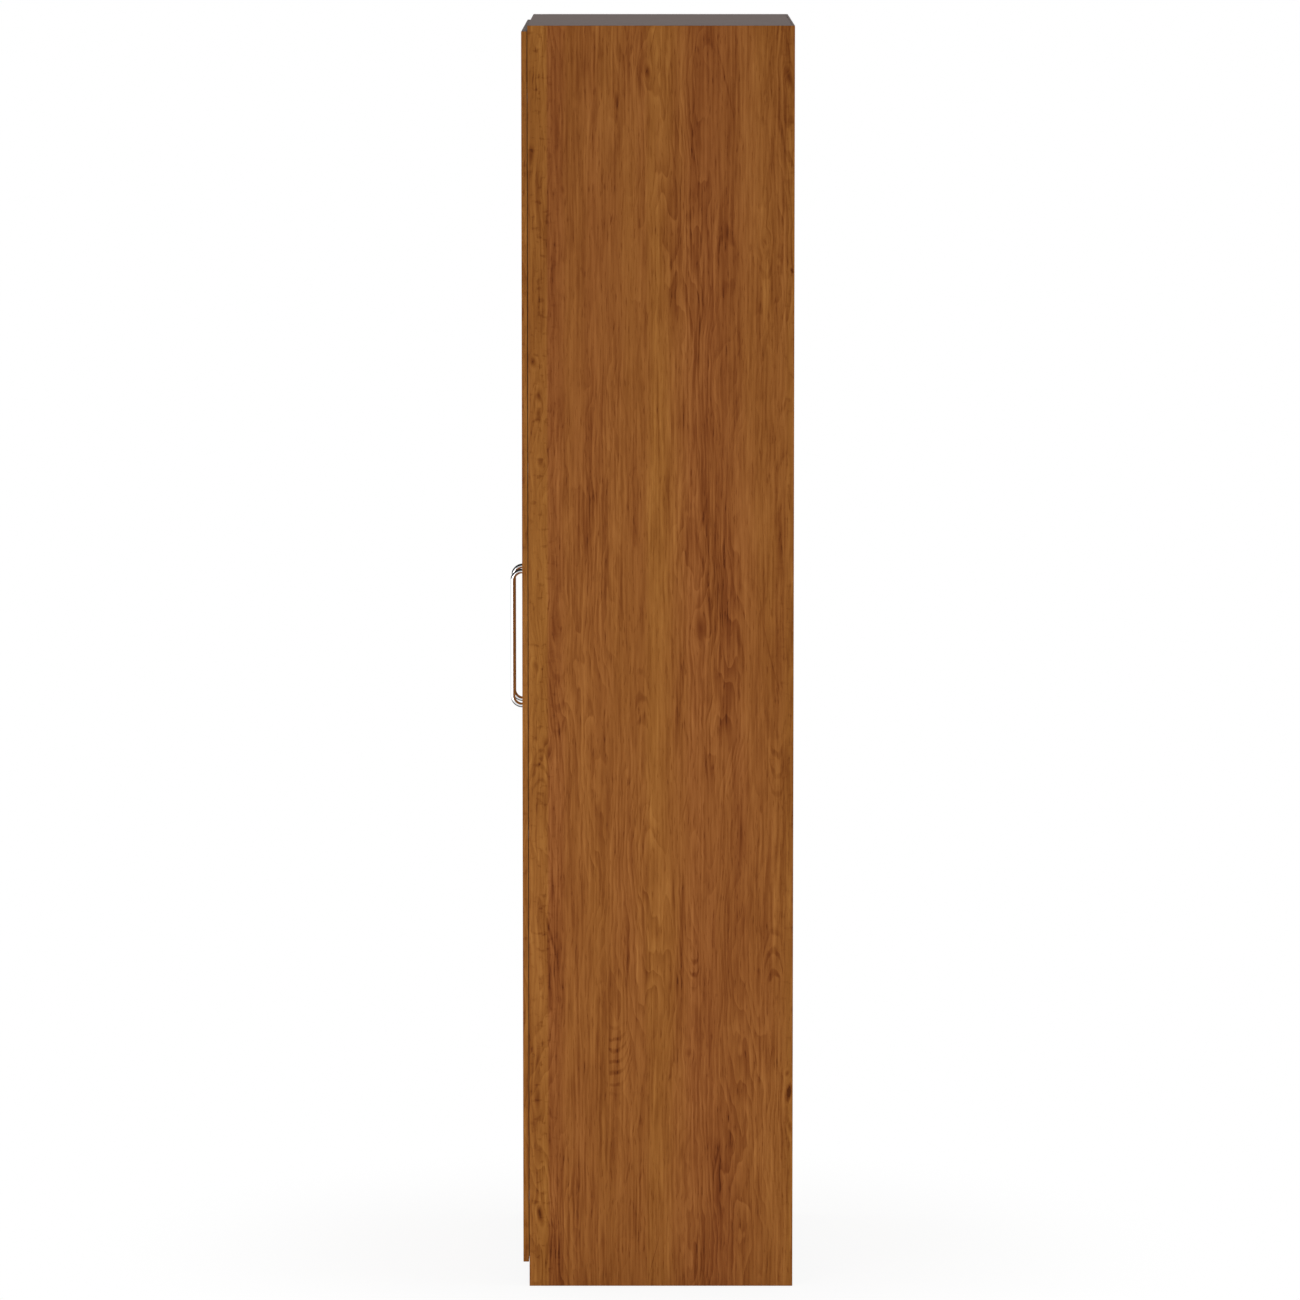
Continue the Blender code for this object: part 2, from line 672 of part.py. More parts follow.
def build():
    carcass = make_carrier("carcass_frame", (0, 0, 0))
    build_carcass(carcass)
    build_shelf(carcass)
    build_rail(carcass)
    handle = handle_mesh()
    screw = handle_screw_mesh()
    plate = plate_mesh()
    for label, side in SIDES.items():
        pivot = (x_at(side, PIVOT_U), y_at(PIVOT_V), DOOR_LOW)
        axis = make_carrier(label + "_door_axis", pivot)
        build_door(label, side, axis, handle, screw)
        build_hinges(label, side, carcass, axis, plate)
        build_catch(label, side, carcass, axis)


build()
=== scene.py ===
# Looks of a tall, narrow wardrobe with two hinged doors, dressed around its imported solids.
# Metres, +Z up, doors towards -Y. Every piece rides on carcass, left_door or right_door.

import json
import math
import random

import bmesh
import bpy
from mathutils import Matrix, Vector


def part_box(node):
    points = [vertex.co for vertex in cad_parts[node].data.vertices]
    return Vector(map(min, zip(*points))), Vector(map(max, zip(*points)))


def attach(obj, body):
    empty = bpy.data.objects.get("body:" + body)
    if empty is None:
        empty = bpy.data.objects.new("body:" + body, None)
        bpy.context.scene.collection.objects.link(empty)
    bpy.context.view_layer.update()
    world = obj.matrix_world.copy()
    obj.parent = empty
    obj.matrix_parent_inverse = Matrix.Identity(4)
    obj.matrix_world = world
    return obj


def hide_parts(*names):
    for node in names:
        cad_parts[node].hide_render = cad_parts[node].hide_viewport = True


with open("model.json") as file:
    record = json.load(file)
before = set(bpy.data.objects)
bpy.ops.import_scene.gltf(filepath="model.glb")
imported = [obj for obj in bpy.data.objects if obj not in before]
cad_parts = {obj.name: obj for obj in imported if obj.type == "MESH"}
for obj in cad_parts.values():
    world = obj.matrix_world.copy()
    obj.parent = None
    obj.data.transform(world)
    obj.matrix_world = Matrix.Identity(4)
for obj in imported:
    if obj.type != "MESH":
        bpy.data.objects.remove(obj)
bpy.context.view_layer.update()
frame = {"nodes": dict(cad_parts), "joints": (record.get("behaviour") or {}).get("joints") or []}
nodes = frame["nodes"]
scene = bpy.context.scene
sides = {"left": -1, "right": 1}
hingeNumbers = range(1, 5)  # on each door, from the floor up
pivots = {joint["child"]: Vector(joint["pos_m"]) for joint in frame["joints"]}
print("frame loaded:", len(nodes), "nodes")


# Node helpers

nodeGrid = {"perRow": 14, "across": 190, "down": 240}  # layout in the node editor


def plug(tree, value, socket):
    if isinstance(value, bpy.types.NodeSocket):
        tree.links.new(value, socket)
    else:
        socket.default_value = value


def addNode(tree, kind, inputs=None, **settings):
    made = tree.nodes.new("ShaderNode" + kind)
    row, column = divmod(len(tree.nodes), nodeGrid["perRow"])
    made.location = (nodeGrid["across"] * column, -nodeGrid["down"] * row)
    for name, value in settings.items():
        setattr(made, name, value)
    for name, value in (inputs or {}).items():
        plug(tree, value, made.inputs[name])
    return made


def calc(tree, operation, *values, kind="Math"):
    return addNode(tree, kind, dict(enumerate(values)), operation=operation).outputs[0]


def vectorCalc(tree, operation, *values):
    return calc(tree, operation, *values, kind="VectorMath")


def lengthOf(tree, vector):
    return addNode(tree, "VectorMath", {0: vector}, operation="LENGTH").outputs["Value"]


# a Mix node's numbers are sockets 2 and 3, its colours 6 and 7
def blend(tree, factor, first, second):
    return addNode(tree, "Mix", {0: factor, 2: first, 3: second}, data_type="FLOAT").outputs[0]


def blendColour(tree, factor, first, second, how="MIX"):
    made = addNode(tree, "Mix", {0: factor, 6: first, 7: second}, data_type="RGBA", blend_type=how)
    return made.outputs[2]


def ease(tree, value, low, high):
    inputs = {"Value": value, "From Min": low, "From Max": high}
    return addNode(tree, "MapRange", inputs, interpolation_type="SMOOTHSTEP").outputs[0]


def split(tree, vector):
    return addNode(tree, "SeparateXYZ", {0: vector}).outputs


def noise(tree, vector, scale, detail=2.0):
    return addNode(tree, "TexNoise", {"Vector": vector, "Scale": scale, "Detail": detail}).outputs[0]


def centred(tree, value):
    return calc(tree, "MULTIPLY_ADD", value, 2.0, -1.0)  # from 0..1 to -1..1


def lifted(tree, value):
    return calc(tree, "MULTIPLY_ADD", value, 0.5, 0.5)  # from -1..1 to 0..1


def grainNoise(tree, given, acrossWaves, alongWaves, seed, detail=2.0):
    # noise drawn out along the grain, from -1 to 1
    vector = addNode(tree, "CombineXYZ", {
        0: calc(tree, "MULTIPLY", given["Across"], acrossWaves),
        1: calc(tree, "MULTIPLY", given["Along"], alongWaves),
        2: seed,
    }).outputs[0]
    return centred(tree, noise(tree, vector, 1.0, detail))


def paint(red, green, blue):
    channels = [value / 255 for value in (red, green, blue)]  # written as screen colours
    return [c / 12.92 if c < 0.04045 else ((c + 0.055) / 1.055) ** 2.4 for c in channels] + [1.0]


def darkToLight(look):
    return [(0.0, paint(*look["dark"])), (1.0, paint(*look["light"]))]


def colourRamp(tree, factor, stops):
    made = addNode(tree, "ValToRGB", {0: factor})
    elements = made.color_ramp.elements
    while len(elements) < len(stops):
        elements.new(1.0)
    for element, (place, colour) in zip(elements, stops):
        element.position = place
        element.color = colour
    return made.outputs[0]


def startGroup(name, inputs, outputs):
    group = bpy.data.node_groups.new(name, "ShaderNodeTree")
    for label, value in inputs.items():
        kind = "NodeSocketVector" if isinstance(value, tuple) else "NodeSocketFloat"
        group.interface.new_socket(name=label, in_out="INPUT", socket_type=kind).default_value = value
    for label in outputs:
        group.interface.new_socket(name=label, in_out="OUTPUT", socket_type="NodeSocketFloat")
    entry = group.nodes.new("NodeGroupInput").outputs
    leave = group.nodes.new("NodeGroupOutput").inputs
    return group, entry, leave


def useGroup(tree, group, inputs):
    return addNode(tree, "Group", inputs, node_tree=group).outputs


# Shared effects, each a node group that is built once

edgeShadeLook = {"waves": 240.0, "least": 0.5}  # how unevenly the painted shade along a board's edges runs


# painted shade: a thin, uneven darkening along every edge of a board
def makePaintedEdgeShade():
    group, given, out = startGroup(
        "paintedEdgeShade", {"Low": (0.0, 0.0, 0.0), "High": (1.0, 1.0, 1.0), "Width": 0.002}, ["Mask"]
    )
    place = addNode(group, "TexCoord").outputs["Object"]
    toLow = vectorCalc(group, "ABSOLUTE", vectorCalc(group, "SUBTRACT", place, given["Low"]))
    toHigh = vectorCalc(group, "ABSOLUTE", vectorCalc(group, "SUBTRACT", place, given["High"]))
    x, y, z = split(group, vectorCalc(group, "MINIMUM", toLow, toHigh))
    # on a board's skin the middle one of the three distances leads to the nearest edge
    larger = calc(group, "MAXIMUM", x, y)
    nearest = calc(group, "MAXIMUM", calc(group, "MINIMUM", x, y), calc(group, "MINIMUM", larger, z))
    uneven = calc(group, "ADD", noise(group, place, edgeShadeLook["waves"]), edgeShadeLook["least"])
    width = calc(group, "MULTIPLY", given["Width"], uneven)
    plug(group, calc(group, "SUBTRACT", 1.0, ease(group, nearest, 0.0, width)), out["Mask"])
    return group


streakLook = {  # waves per metre across and along the grain, shift of the tone in percent, detail
    "medium": (60.0, 2.8, 18.0, 2.0),
    "line": (180.0, 6.5, 24.0, 1.0),
    "fine": (230.0, 24.0, 20.0, 1.0),
    "hair": (320.0, 10.0, 28.0, 0.0),
}
broadLook = {"across": 13.0, "along": 0.8, "depth": 0.17}
blockLook = {"across": 34.0, "along": 3.6, "crisp": 0.04, "depth": 0.09}
calmLook = {"across": 15.0, "along": 3.0, "from": -0.35, "to": 0.4, "least": 0.68, "most": 1.14}
ringLook = {  # rings cut lengthwise
    "perMetre": 85.0,
    "sweep": (14.0, 2.6, 6.5),  # waves across and along, and how many lines aside they draw one
    "ripple": (60.0, 16.0, 0.9),
    "soft": 0.1,  # share of a line where it ends
    "depth": 0.32,
    "patches": (8.0, 1.9),
    "patchEdge": 0.3,
}
speckLook = {  # dark specks: waves per metre across and along, where they begin and are full, depth
    "pore": (520.0, 44.0, 0.14, 0.5, 0.3),
    "fleck": (75.0, 110.0, 0.1, 0.5, 0.26),
}
hueLook = {"across": 22.0, "along": 1.8, "depth": 0.26}
layerSeeds = {  # each sets one layer of noise apart from the others
    "streak": 3.7, "calm": 51.3, "broad": 17.9, "block": 23.1, "hue": 29.3,
    "sweep": 61.7, "ripple": 67.3, "patches": 71.9, "pore": 37.1, "fleck": 41.9,
}


def makeWoodStreaks():
    group, given, out = startGroup(
        "woodStreaks",
        {"Across": 0.0, "Along": 0.0, "Seed": 0.0, "Figured": 0.0},
        ["Tone", "Hue", "Relief"],
    )

    def layer(acrossWaves, alongWaves, shift, detail=2.0):
        seed = calc(group, "ADD", given["Seed"], shift)
        return grainNoise(group, given, acrossWaves, alongWaves, seed, detail)

    streaks = 0.0
    layers = {}
    for index, (name, (acrossWaves, alongWaves, weight, detail)) in enumerate(streakLook.items()):
        layers[name] = layer(acrossWaves, alongWaves, layerSeeds["streak"] * index, detail)
        streaks = calc(group, "MULTIPLY_ADD", layers[name], weight / 100, streaks)
    # some areas are nearly plain, others full of streaks
    look = calmLook
    calm = layer(look["across"], look["along"], layerSeeds["calm"])
    busy = ease(group, calm, look["from"], look["to"])
    streaks = calc(group, "MULTIPLY", streaks, blend(group, busy, look["least"], look["most"]))
    look = broadLook
    broad = layer(look["across"], look["along"], layerSeeds["broad"])
    tone = calc(group, "MULTIPLY_ADD", broad, look["depth"], streaks)
    look = blockLook
    block = layer(look["across"], look["along"], layerSeeds["block"], 1.0)
    block = ease(group, block, -look["crisp"], look["crisp"])
    tone = calc(group, "MULTIPLY_ADD", calc(group, "SUBTRACT", block, 0.5), look["depth"], tone)
    # growth rings: each darkens slowly and ends at once, and they sweep into loops and feathers
    look = ringLook
    phase = calc(group, "MULTIPLY", given["Across"], look["perMetre"])
    for name in ("sweep", "ripple"):
        acrossWaves, alongWaves, reach = look[name]
        aside = layer(acrossWaves, alongWaves, layerSeeds[name], 1.0)
        phase = calc(group, "MULTIPLY_ADD", aside, reach, phase)
    part = calc(group, "FRACT", phase)
    ring = calc(group, "SUBTRACT", part, ease(group, part, 1.0 - look["soft"], 1.0))
    ring = calc(group, "SUBTRACT", ring, 0.5 - look["soft"] / 2)
    patches = layer(*look["patches"], layerSeeds["patches"])
    shown = ease(group, patches, -look["patchEdge"], look["patchEdge"])
    ring = calc(group, "MULTIPLY", calc(group, "MULTIPLY", ring, shown), look["depth"])
    tone = calc(group, "SUBTRACT", tone, ring)
    specks = {}
    for name, (acrossWaves, alongWaves, start, full, depth) in speckLook.items():
        speck = ease(group, layer(acrossWaves, alongWaves, layerSeeds[name]), start, full)
        specks[name] = calc(group, "MULTIPLY", speck, depth)
    # pores lie everywhere, flecks only where the wood is figured
    dark = calc(group, "MULTIPLY_ADD", specks["fleck"], given["Figured"], specks["pore"])
    plug(group, calc(group, "SUBTRACT", tone, dark), out["Tone"])
    look = hueLook
    hue = layer(look["across"], look["along"], layerSeeds["hue"])
    plug(group, calc(group, "MULTIPLY", hue, look["depth"]), out["Hue"])
    plug(group, calc(group, "SUBTRACT", layers["fine"], specks["pore"]), out["Relief"])
    return group


wanderLook = {
    "waves": [  # waves per metre across and along the grain, and how far it strays in metres
        (11.0, 2.4, 0.004),
        (42.0, 14.0, 0.0022),
    ],
    "figured": 1.2,  # how much more it strays in figured wood
}


def makeGrainWander():
    group, given, out = startGroup(
        "grainWander", {"Across": 0.0, "Along": 0.0, "Seed": 0.0, "Figured": 0.0}, ["Across"]
    )
    across = given["Across"]
    more = calc(group, "MULTIPLY_ADD", given["Figured"], wanderLook["figured"], 1.0)
    for acrossWaves, alongWaves, reach in wanderLook["waves"]:
        sway = grainNoise(group, given, acrossWaves, alongWaves, given["Seed"])
        across = calc(group, "MULTIPLY_ADD", calc(group, "MULTIPLY", sway, more), reach, across)
    plug(group, across, out["Across"])
    return group


figureSpot = {"Across": 0.0, "Along": 0.0, "Middle": 0.0, "Height": 0.0, "Half Width": 0.01}
knotLook = {  # how fast the heart, the bend and the pale halo fall off, and how strong they are
    "heartFall": 1.6,
    "bendFall": 0.35,
    "haloFall": 1.4,
    "haloAt": 1.8,
    "haloDepth": 0.2,
    "bend": 0.8,
}


def makeGrainKnot():
    group, given, out = startGroup(
        "grainKnot", {**figureSpot, "Half Length": 0.02, "Lean": 0.0}, ["Dark", "Bend"]
    )
    look = knotLook
    rise = calc(group, "SUBTRACT", given["Along"], given["Height"])
    aside = calc(group, "SUBTRACT", given["Across"], given["Middle"])
    aside = calc(group, "SUBTRACT", aside, calc(group, "MULTIPLY", rise, given["Lean"]))
    u = calc(group, "DIVIDE", aside, given["Half Width"])
    v = calc(group, "DIVIDE", rise, given["Half Length"])
    spread = calc(group, "MULTIPLY_ADD", u, u, calc(group, "MULTIPLY", v, v))
    heart = calc(group, "EXPONENT", calc(group, "MULTIPLY", spread, -look["heartFall"]))
    around = calc(group, "EXPONENT", calc(group, "MULTIPLY", spread, -look["bendFall"]))
    fromHalo = calc(group, "SUBTRACT", spread, look["haloAt"])
    fromHalo = calc(group, "MULTIPLY", fromHalo, fromHalo)
    halo = calc(group, "EXPONENT", calc(group, "MULTIPLY", fromHalo, -look["haloFall"]))
    plug(group, calc(group, "MULTIPLY_ADD", halo, -look["haloDepth"], heart), out["Dark"])
    push = calc(group, "MULTIPLY", calc(group, "MULTIPLY", u, around), given["Half Width"])
    plug(group, calc(group, "MULTIPLY", push, -look["bend"]), out["Bend"])
    return group


uncut = -2.0  # an arch that is shown from side to side
archLook = {
    "strayWaves": (70.0, 34.0, 90.0),  # per metre across and along, and from arch to arch
    "stray": 0.8,
    "steep": 1.1,
    "fade": (0.2, 1.1),  # where it begins to fade and where it is gone
    "cutEdge": 0.06,
    "wear": (0.5, 0.7),  # how unevenly its lines show, and how much of them
}


def makeGrainArch():
    group, given, out = startGroup(
        "grainArch", {**figureSpot, "Half Length": 0.05, "Rings": 5.0, "Cut": uncut}, ["Dark"]
    )
    look = archLook
    spot = addNode(group, "CombineXYZ", {0: given["Across"], 1: given["Along"], 2: given["Height"]})
    vector = vectorCalc(group, "MULTIPLY", spot.outputs[0], look["strayWaves"])
    stray = centred(group, noise(group, vector, 1.0))
    aside = calc(group, "SUBTRACT", given["Across"], given["Middle"])
    rise = calc(group, "SUBTRACT", given["Along"], given["Height"])
    u = calc(group, "DIVIDE", aside, given["Half Width"])
    v = calc(group, "DIVIDE", rise, given["Half Length"])
    square = calc(group, "MULTIPLY", u, u)
    cube = calc(group, "MULTIPLY", square, calc(group, "ABSOLUTE", u))
    phase = calc(group, "MULTIPLY", calc(group, "MULTIPLY_ADD", cube, look["steep"], v), given["Rings"])
    phase = calc(group, "MULTIPLY_ADD", stray, look["stray"], phase)
    wave = calc(group, "SINE", calc(group, "MULTIPLY", phase, math.pi))
    line = ease(group, wave, 0.0, 1.0)
    spread = calc(group, "MULTIPLY_ADD", v, v, square)
    window = calc(group, "SUBTRACT", 1.0, ease(group, spread, *look["fade"]))
    fromCut = calc(group, "SUBTRACT", u, given["Cut"])  # a plank's edge may cut it
    window = calc(group, "MULTIPLY", window, ease(group, fromCut, -look["cutEdge"], look["cutEdge"]))
    worn = calc(group, "MULTIPLY_ADD", stray, *look["wear"])
    plug(group, calc(group, "MULTIPLY", calc(group, "MULTIPLY", line, window), worn), out["Dark"])
    return group


speckleLook = {"detail": 2.0, "cloudDetail": 3.0, "cloudWaves": 0.021}  # for each wave of grain


def makeFineSpeckle():
    group, given, out = startGroup("fineSpeckle", {"Size": 0.001}, ["Grain", "Cloud"])
    place = addNode(group, "TexCoord").outputs["Object"]
    perMetre = calc(group, "DIVIDE", 1.0, given["Size"])
    cloudWaves = calc(group, "MULTIPLY", perMetre, speckleLook["cloudWaves"])
    grain = noise(group, place, perMetre, speckleLook["detail"])
    cloud = noise(group, place, cloudWaves, speckleLook["cloudDetail"])
    plug(group, centred(group, grain), out["Grain"])
    plug(group, centred(group, cloud), out["Cloud"])
    return group


paintedEdgeShade = makePaintedEdgeShade()
woodStreaks = makeWoodStreaks()
grainWander = makeGrainWander()
grainKnot = makeGrainKnot()
grainArch = makeGrainArch()
fineSpeckle = makeFineSpeckle()
print("shared effects:", len(bpy.data.node_groups), "node groups")


# Wood laminate

woodColours = {  # screen colours from the darkest streak to the lightest
    "stops": [
        (0.0, (86, 42, 15)),
        (0.1, (109, 57, 22)),
        (0.3, (125, 71, 30)),
        (0.5, (139, 84, 38)),
        (0.7, (150, 94, 45)),
        (1.0, (166, 109, 55)),
    ],
    "red": (1.02, 0.97, 1.14, 1.0),
    "gold": (0.98, 1.03, 0.86, 1.0),
}

figureLook = {
    "lean": 0.25,  # most that a knot leans, across for each metre along
    "leanTurn": 40.0,  # how fast the lean changes with the height
    "broken": 0.6,  # how far the fine streaks break up the dark spots
}

# places are metres from the panel's front edge and above the floor
rightPanelFigure = {
    "seed": 4.2,
    "planks": [  # distance from the front edge, tone, gold, flecks
        (0.000, 0.06, 0.3, 0.6), (0.006, 0.10, 0.5, 1.0),
        (0.030, 0.11, 0.6, 1.0), (0.034, -0.09, -0.4, 0.6),
        (0.054, -0.07, -0.3, 0.2), (0.064, 0.01, 0.0, 0.0),
        (0.190, 0.01, 0.0, 0.0), (0.204, 0.10, 0.35, 0.1),
        (0.230, 0.08, 0.3, 0.1), (0.246, 0.01, 0.0, 0.0),
        (0.272, -0.07, -0.4, 0.0), (0.326, -0.08, -0.4, 0.0),
        (0.346, -0.04, -0.2, 0.0), (0.368, 0.01, 0.0, 0.0),
        (0.420, 0.02, 0.1, 0.3), (0.438, 0.05, 0.5, 0.6),
    ],
    "knots": [  # across, height, half width, half length, depth
        (0.009, 1.547, 0.006, 0.010, 0.38), (0.017, 1.493, 0.006, 0.012, 0.32),
        (0.017, 1.462, 0.006, 0.010, 0.32), (0.022, 1.381, 0.007, 0.009, 0.34),
        (0.008, 1.888, 0.005, 0.016, 0.28), (0.008, 1.043, 0.005, 0.010, 0.34),
        (0.030, 0.905, 0.007, 0.022, 0.34), (0.014, 0.320, 0.005, 0.022, 0.50),
        (0.016, 0.124, 0.005, 0.022, 0.50), (0.197, 2.025, 0.006, 0.014, 0.42),
        (0.265, 0.395, 0.005, 0.008, 0.20), (0.390, 1.749, 0.007, 0.014, 0.20),
        (0.285, 1.108, 0.010, 0.030, 0.27), (0.048, 1.112, 0.010, 0.026, 0.20),
        (0.429, 2.013, 0.005, 0.020, 0.34), (0.433, 0.328, 0.006, 0.015, 0.80),
        (0.430, 0.360, 0.004, 0.006, 0.36), (0.434, 0.270, 0.005, 0.016, 0.36),
        (0.436, 1.697, 0.003, 0.006, 0.40),
    ],
    "marks": [  # as knots, but the grain runs straight through them
        (0.146, 1.977, 0.004, 0.016, 0.26), (0.137, 1.780, 0.0016, 0.012, 0.34),
        (0.057, 1.831, 0.004, 0.008, 0.20), (0.207, 2.080, 0.001, 0.045, 0.34),
        (0.207, 0.045, 0.001, 0.055, 0.34), (0.264, 1.786, 0.007, 0.014, 0.16),
        (0.325, 2.010, 0.002, 0.080, 0.20), (0.424, 1.475, 0.0022, 0.014, 0.30),
        (0.275, 1.425, 0.0035, 0.070, 0.16), (0.290, 1.295, 0.003, 0.040, 0.19),
        (0.287, 1.220, 0.003, 0.060, 0.15), (0.300, 1.250, 0.028, 0.280, 0.08),
        (0.330, 1.150, 0.0012, 0.006, 0.30), (0.301, 0.975, 0.0018, 0.030, 0.22),
        (0.295, 0.875, 0.002, 0.045, 0.18), (0.051, 0.938, 0.0024, 0.020, 0.28),
        (0.343, 0.790, 0.0016, 0.020, 0.26), (0.259, 0.810, 0.0018, 0.030, 0.22),
        (0.408, 0.710, 0.003, 0.040, 0.22), (0.403, 1.050, 0.0016, 0.070, 0.20),
        (0.038, 0.590, 0.003, 0.050, 0.28), (0.036, 0.293, 0.0022, 0.010, 0.28),
        (0.036, 0.104, 0.0022, 0.010, 0.28), (0.163, 0.190, 0.0022, 0.024, 0.22),
        (0.185, 0.185, 0.0024, 0.016, 0.24), (0.278, 0.375, 0.012, 0.020, 0.10),
        (0.253, 0.224, 0.004, 0.020, 0.20), (0.312, 0.215, 0.0026, 0.030, 0.34),
        (0.320, 0.180, 0.020, 0.220, 0.09), (0.280, 0.073, 0.0022, 0.024, 0.32),
    ],
    "arches": [  # across, height, half width, half length (below 0 hangs it), rings, depth, cut
        (0.140, 0.384, 0.036, -0.068, 7.1, 0.36, -0.22),
        (0.189, 0.985, 0.016, 0.064, 3.0, 0.26, uncut),
        (0.100, 0.965, 0.010, 0.060, 2.0, 0.24, uncut),
        (0.410, 0.870, 0.018, -0.064, 4.0, 0.32, uncut),
        (0.408, 0.555, 0.020, 0.060, 3.3, 0.40, uncut),
        (0.275, 0.530, 0.012, -0.034, 3.0, 0.42, uncut),
        (0.048, 0.985, 0.020, -0.085, 4.0, 0.24, uncut),
        (0.328, 1.735, 0.024, 0.090, 2.0, 0.26, uncut),
        (0.392, 1.700, 0.014, -0.040, 2.0, 0.24, uncut),
        (0.020, 0.870, 0.017, 0.050, 4.0, 0.32, uncut),
        (0.017, 1.480, 0.014, 0.050, 3.0, 0.28, uncut),
        (0.430, 1.900, 0.016, -0.080, 3.0, 0.24, uncut),
    ],
}

scatterLook = {  # what the figure of the other boards is drawn from
    "fromEdge": 0.02,
    "fromFloor": 0.05,
    "widths": (0.6, 1.2),
    "lengths": (0.6, 1.3),
    "depths": (0.2, 0.36),
    "planks": (0.045, 0.13),
    "seam": 0.004,
    "tones": (-0.08, 0.1),
    "golds": (-0.4, 0.5),
    "flecks": (0.0, 0.0, 0.8),
    "knots": (9, 0.007, 0.018),  # how many, half width, half length
    "marks": (16, 0.003, 0.05),
    "arches": (6, 0.014, 0.07),
    "rings": (3.0, 6.0),
    "archDepth": 0.2,
    "seedStep": 1.7,
}


def scatteredFigure(seed, width, height, outer=None):
    # planks, knots, marks and arches for a board with none placed by hand; outer is its first plank
    draw = random.Random(seed)
    look = scatterLook

    def spots(count, halfWidth, halfLength):
        return [
            (
                draw.uniform(look["fromEdge"], width - look["fromEdge"]),
                draw.uniform(look["fromFloor"], height),
                draw.uniform(*look["widths"]) * halfWidth,
                draw.uniform(*look["lengths"]) * halfLength,
                draw.uniform(*look["depths"]),
            )
            for index in range(count)
        ]

    planks = []
    edge = 0.0
    while edge < width:
        nextEdge = min(width, edge + draw.uniform(*look["planks"]))
        tone = draw.uniform(*look["tones"])
        gold = draw.uniform(*look["golds"])
        plank = (tone, gold, draw.choice(look["flecks"]))
        if outer and edge == 0.0:
            plank = outer
        planks += [(edge + look["seam"], *plank), (nextEdge - look["seam"], *plank)]
        edge = nextEdge
    arches = []
    for across, place, halfWidth, halfLength, depth in spots(*look["arches"]):
        halfLength *= draw.choice((-1, 1))
        rings = draw.uniform(*look["rings"])
        arches.append((across, place, halfWidth, halfLength, rings, look["archDepth"], uncut))
    return {
        "seed": seed * look["seedStep"],
        "planks": planks,
        "knots": spots(*look["knots"]),
        "marks": spots(*look["marks"]),
        "arches": arches,
    }


def woodColour(tree, place, figure, corner, boardWidth, level=False):
    x, y, z = split(tree, place)
    if level:  # grain lying along X
        straight, along = z, x
    else:  # upright grain that wraps round the board's outer front corner
        fromX = calc(tree, "ABSOLUTE", calc(tree, "SUBTRACT", x, corner.x))
        fromY = calc(tree, "ABSOLUTE", calc(tree, "SUBTRACT", y, corner.y))
        straight, along = calc(tree, "ADD", fromX, fromY), z
    planks = colourRamp(tree, calc(tree, "DIVIDE", straight, boardWidth), [
        (distance / boardWidth, (0.5 + tone, 0.5 + gold / 2, flecks, 1.0))
        for distance, tone, gold, flecks in figure["planks"]
    ])
    plankTone, plankGold, figured = addNode(tree, "SeparateColor", {0: planks}).outputs
    across = useGroup(tree, grainWander, {
        "Across": straight, "Along": along, "Seed": figure["seed"], "Figured": figured,
    })["Across"]

    def placed(middle, height, halfWidth, halfLength):
        return {
            "Across": across, "Along": along, "Middle": middle, "Height": height,
            "Half Width": halfWidth, "Half Length": halfLength,
        }

    dark, bend = 0.0, across
    for kind in ("knots", "marks"):
        for middle, height, halfWidth, halfLength, depth in figure[kind]:
            lean = figureLook["lean"] * math.sin(figureLook["leanTurn"] * height)
            spot = placed(middle, height, halfWidth, halfLength)
            knot = useGroup(tree, grainKnot, {**spot, "Lean": lean})
            dark = calc(tree, "MULTIPLY_ADD", knot["Dark"], depth, dark)
            if kind == "knots":  # the grain runs round a knot
                bend = calc(tree, "ADD", knot["Bend"], bend)
    for middle, height, halfWidth, halfLength, rings, depth, cut in figure["arches"]:
        spot = placed(middle, height, halfWidth, halfLength)
        arch = useGroup(tree, grainArch, {**spot, "Rings": rings, "Cut": cut})
        dark = calc(tree, "MULTIPLY_ADD", arch["Dark"], depth, dark)
    streaks = useGroup(tree, woodStreaks, {
        "Across": bend, "Along": along, "Seed": figure["seed"], "Figured": figured,
    })
    tone = calc(tree, "ADD", streaks["Tone"], plankTone)
    broken = calc(tree, "MULTIPLY_ADD", streaks["Relief"], figureLook["broken"], 1.0)
    tone = calc(tree, "SUBTRACT", tone, calc(tree, "MULTIPLY", dark, broken))
    stops = [(position, paint(*colour)) for position, colour in woodColours["stops"]]
    colour = colourRamp(tree, tone, stops)
    hue = calc(tree, "ADD", streaks["Hue"], plankGold)
    tint = blendColour(tree, ease(tree, hue, 0.0, 1.0), woodColours["red"], woodColours["gold"])
    return blendColour(tree, 1.0, colour, tint, "MULTIPLY"), streaks["Relief"]


# Plain board: size of the grain in metres, shares of grain and clouds in the shade
greyLook = {
    "dark": (105, 96, 93), "light": (119, 110, 107), "size": 0.0011, "grain": 0.45, "cloud": 0.2,
}
fibreLook = {
    "dark": (118, 88, 57), "light": (150, 118, 82), "size": 0.0016, "grain": 0.7, "cloud": 0.35,
}


def plainColour(tree, look):
    speckle = useGroup(tree, fineSpeckle, {"Size": look["size"]})
    shade = calc(tree, "MULTIPLY_ADD", speckle["Grain"], look["grain"], 0.5)
    shade = calc(tree, "MULTIPLY_ADD", speckle["Cloud"], look["cloud"], shade)
    return colourRamp(tree, shade, darkToLight(look)), speckle["Grain"]


def newFinish(name):
    finish = bpy.data.materials.new(name)
    finish.use_nodes = True
    tree = finish.node_tree
    return finish, tree, tree.nodes["Principled BSDF"]


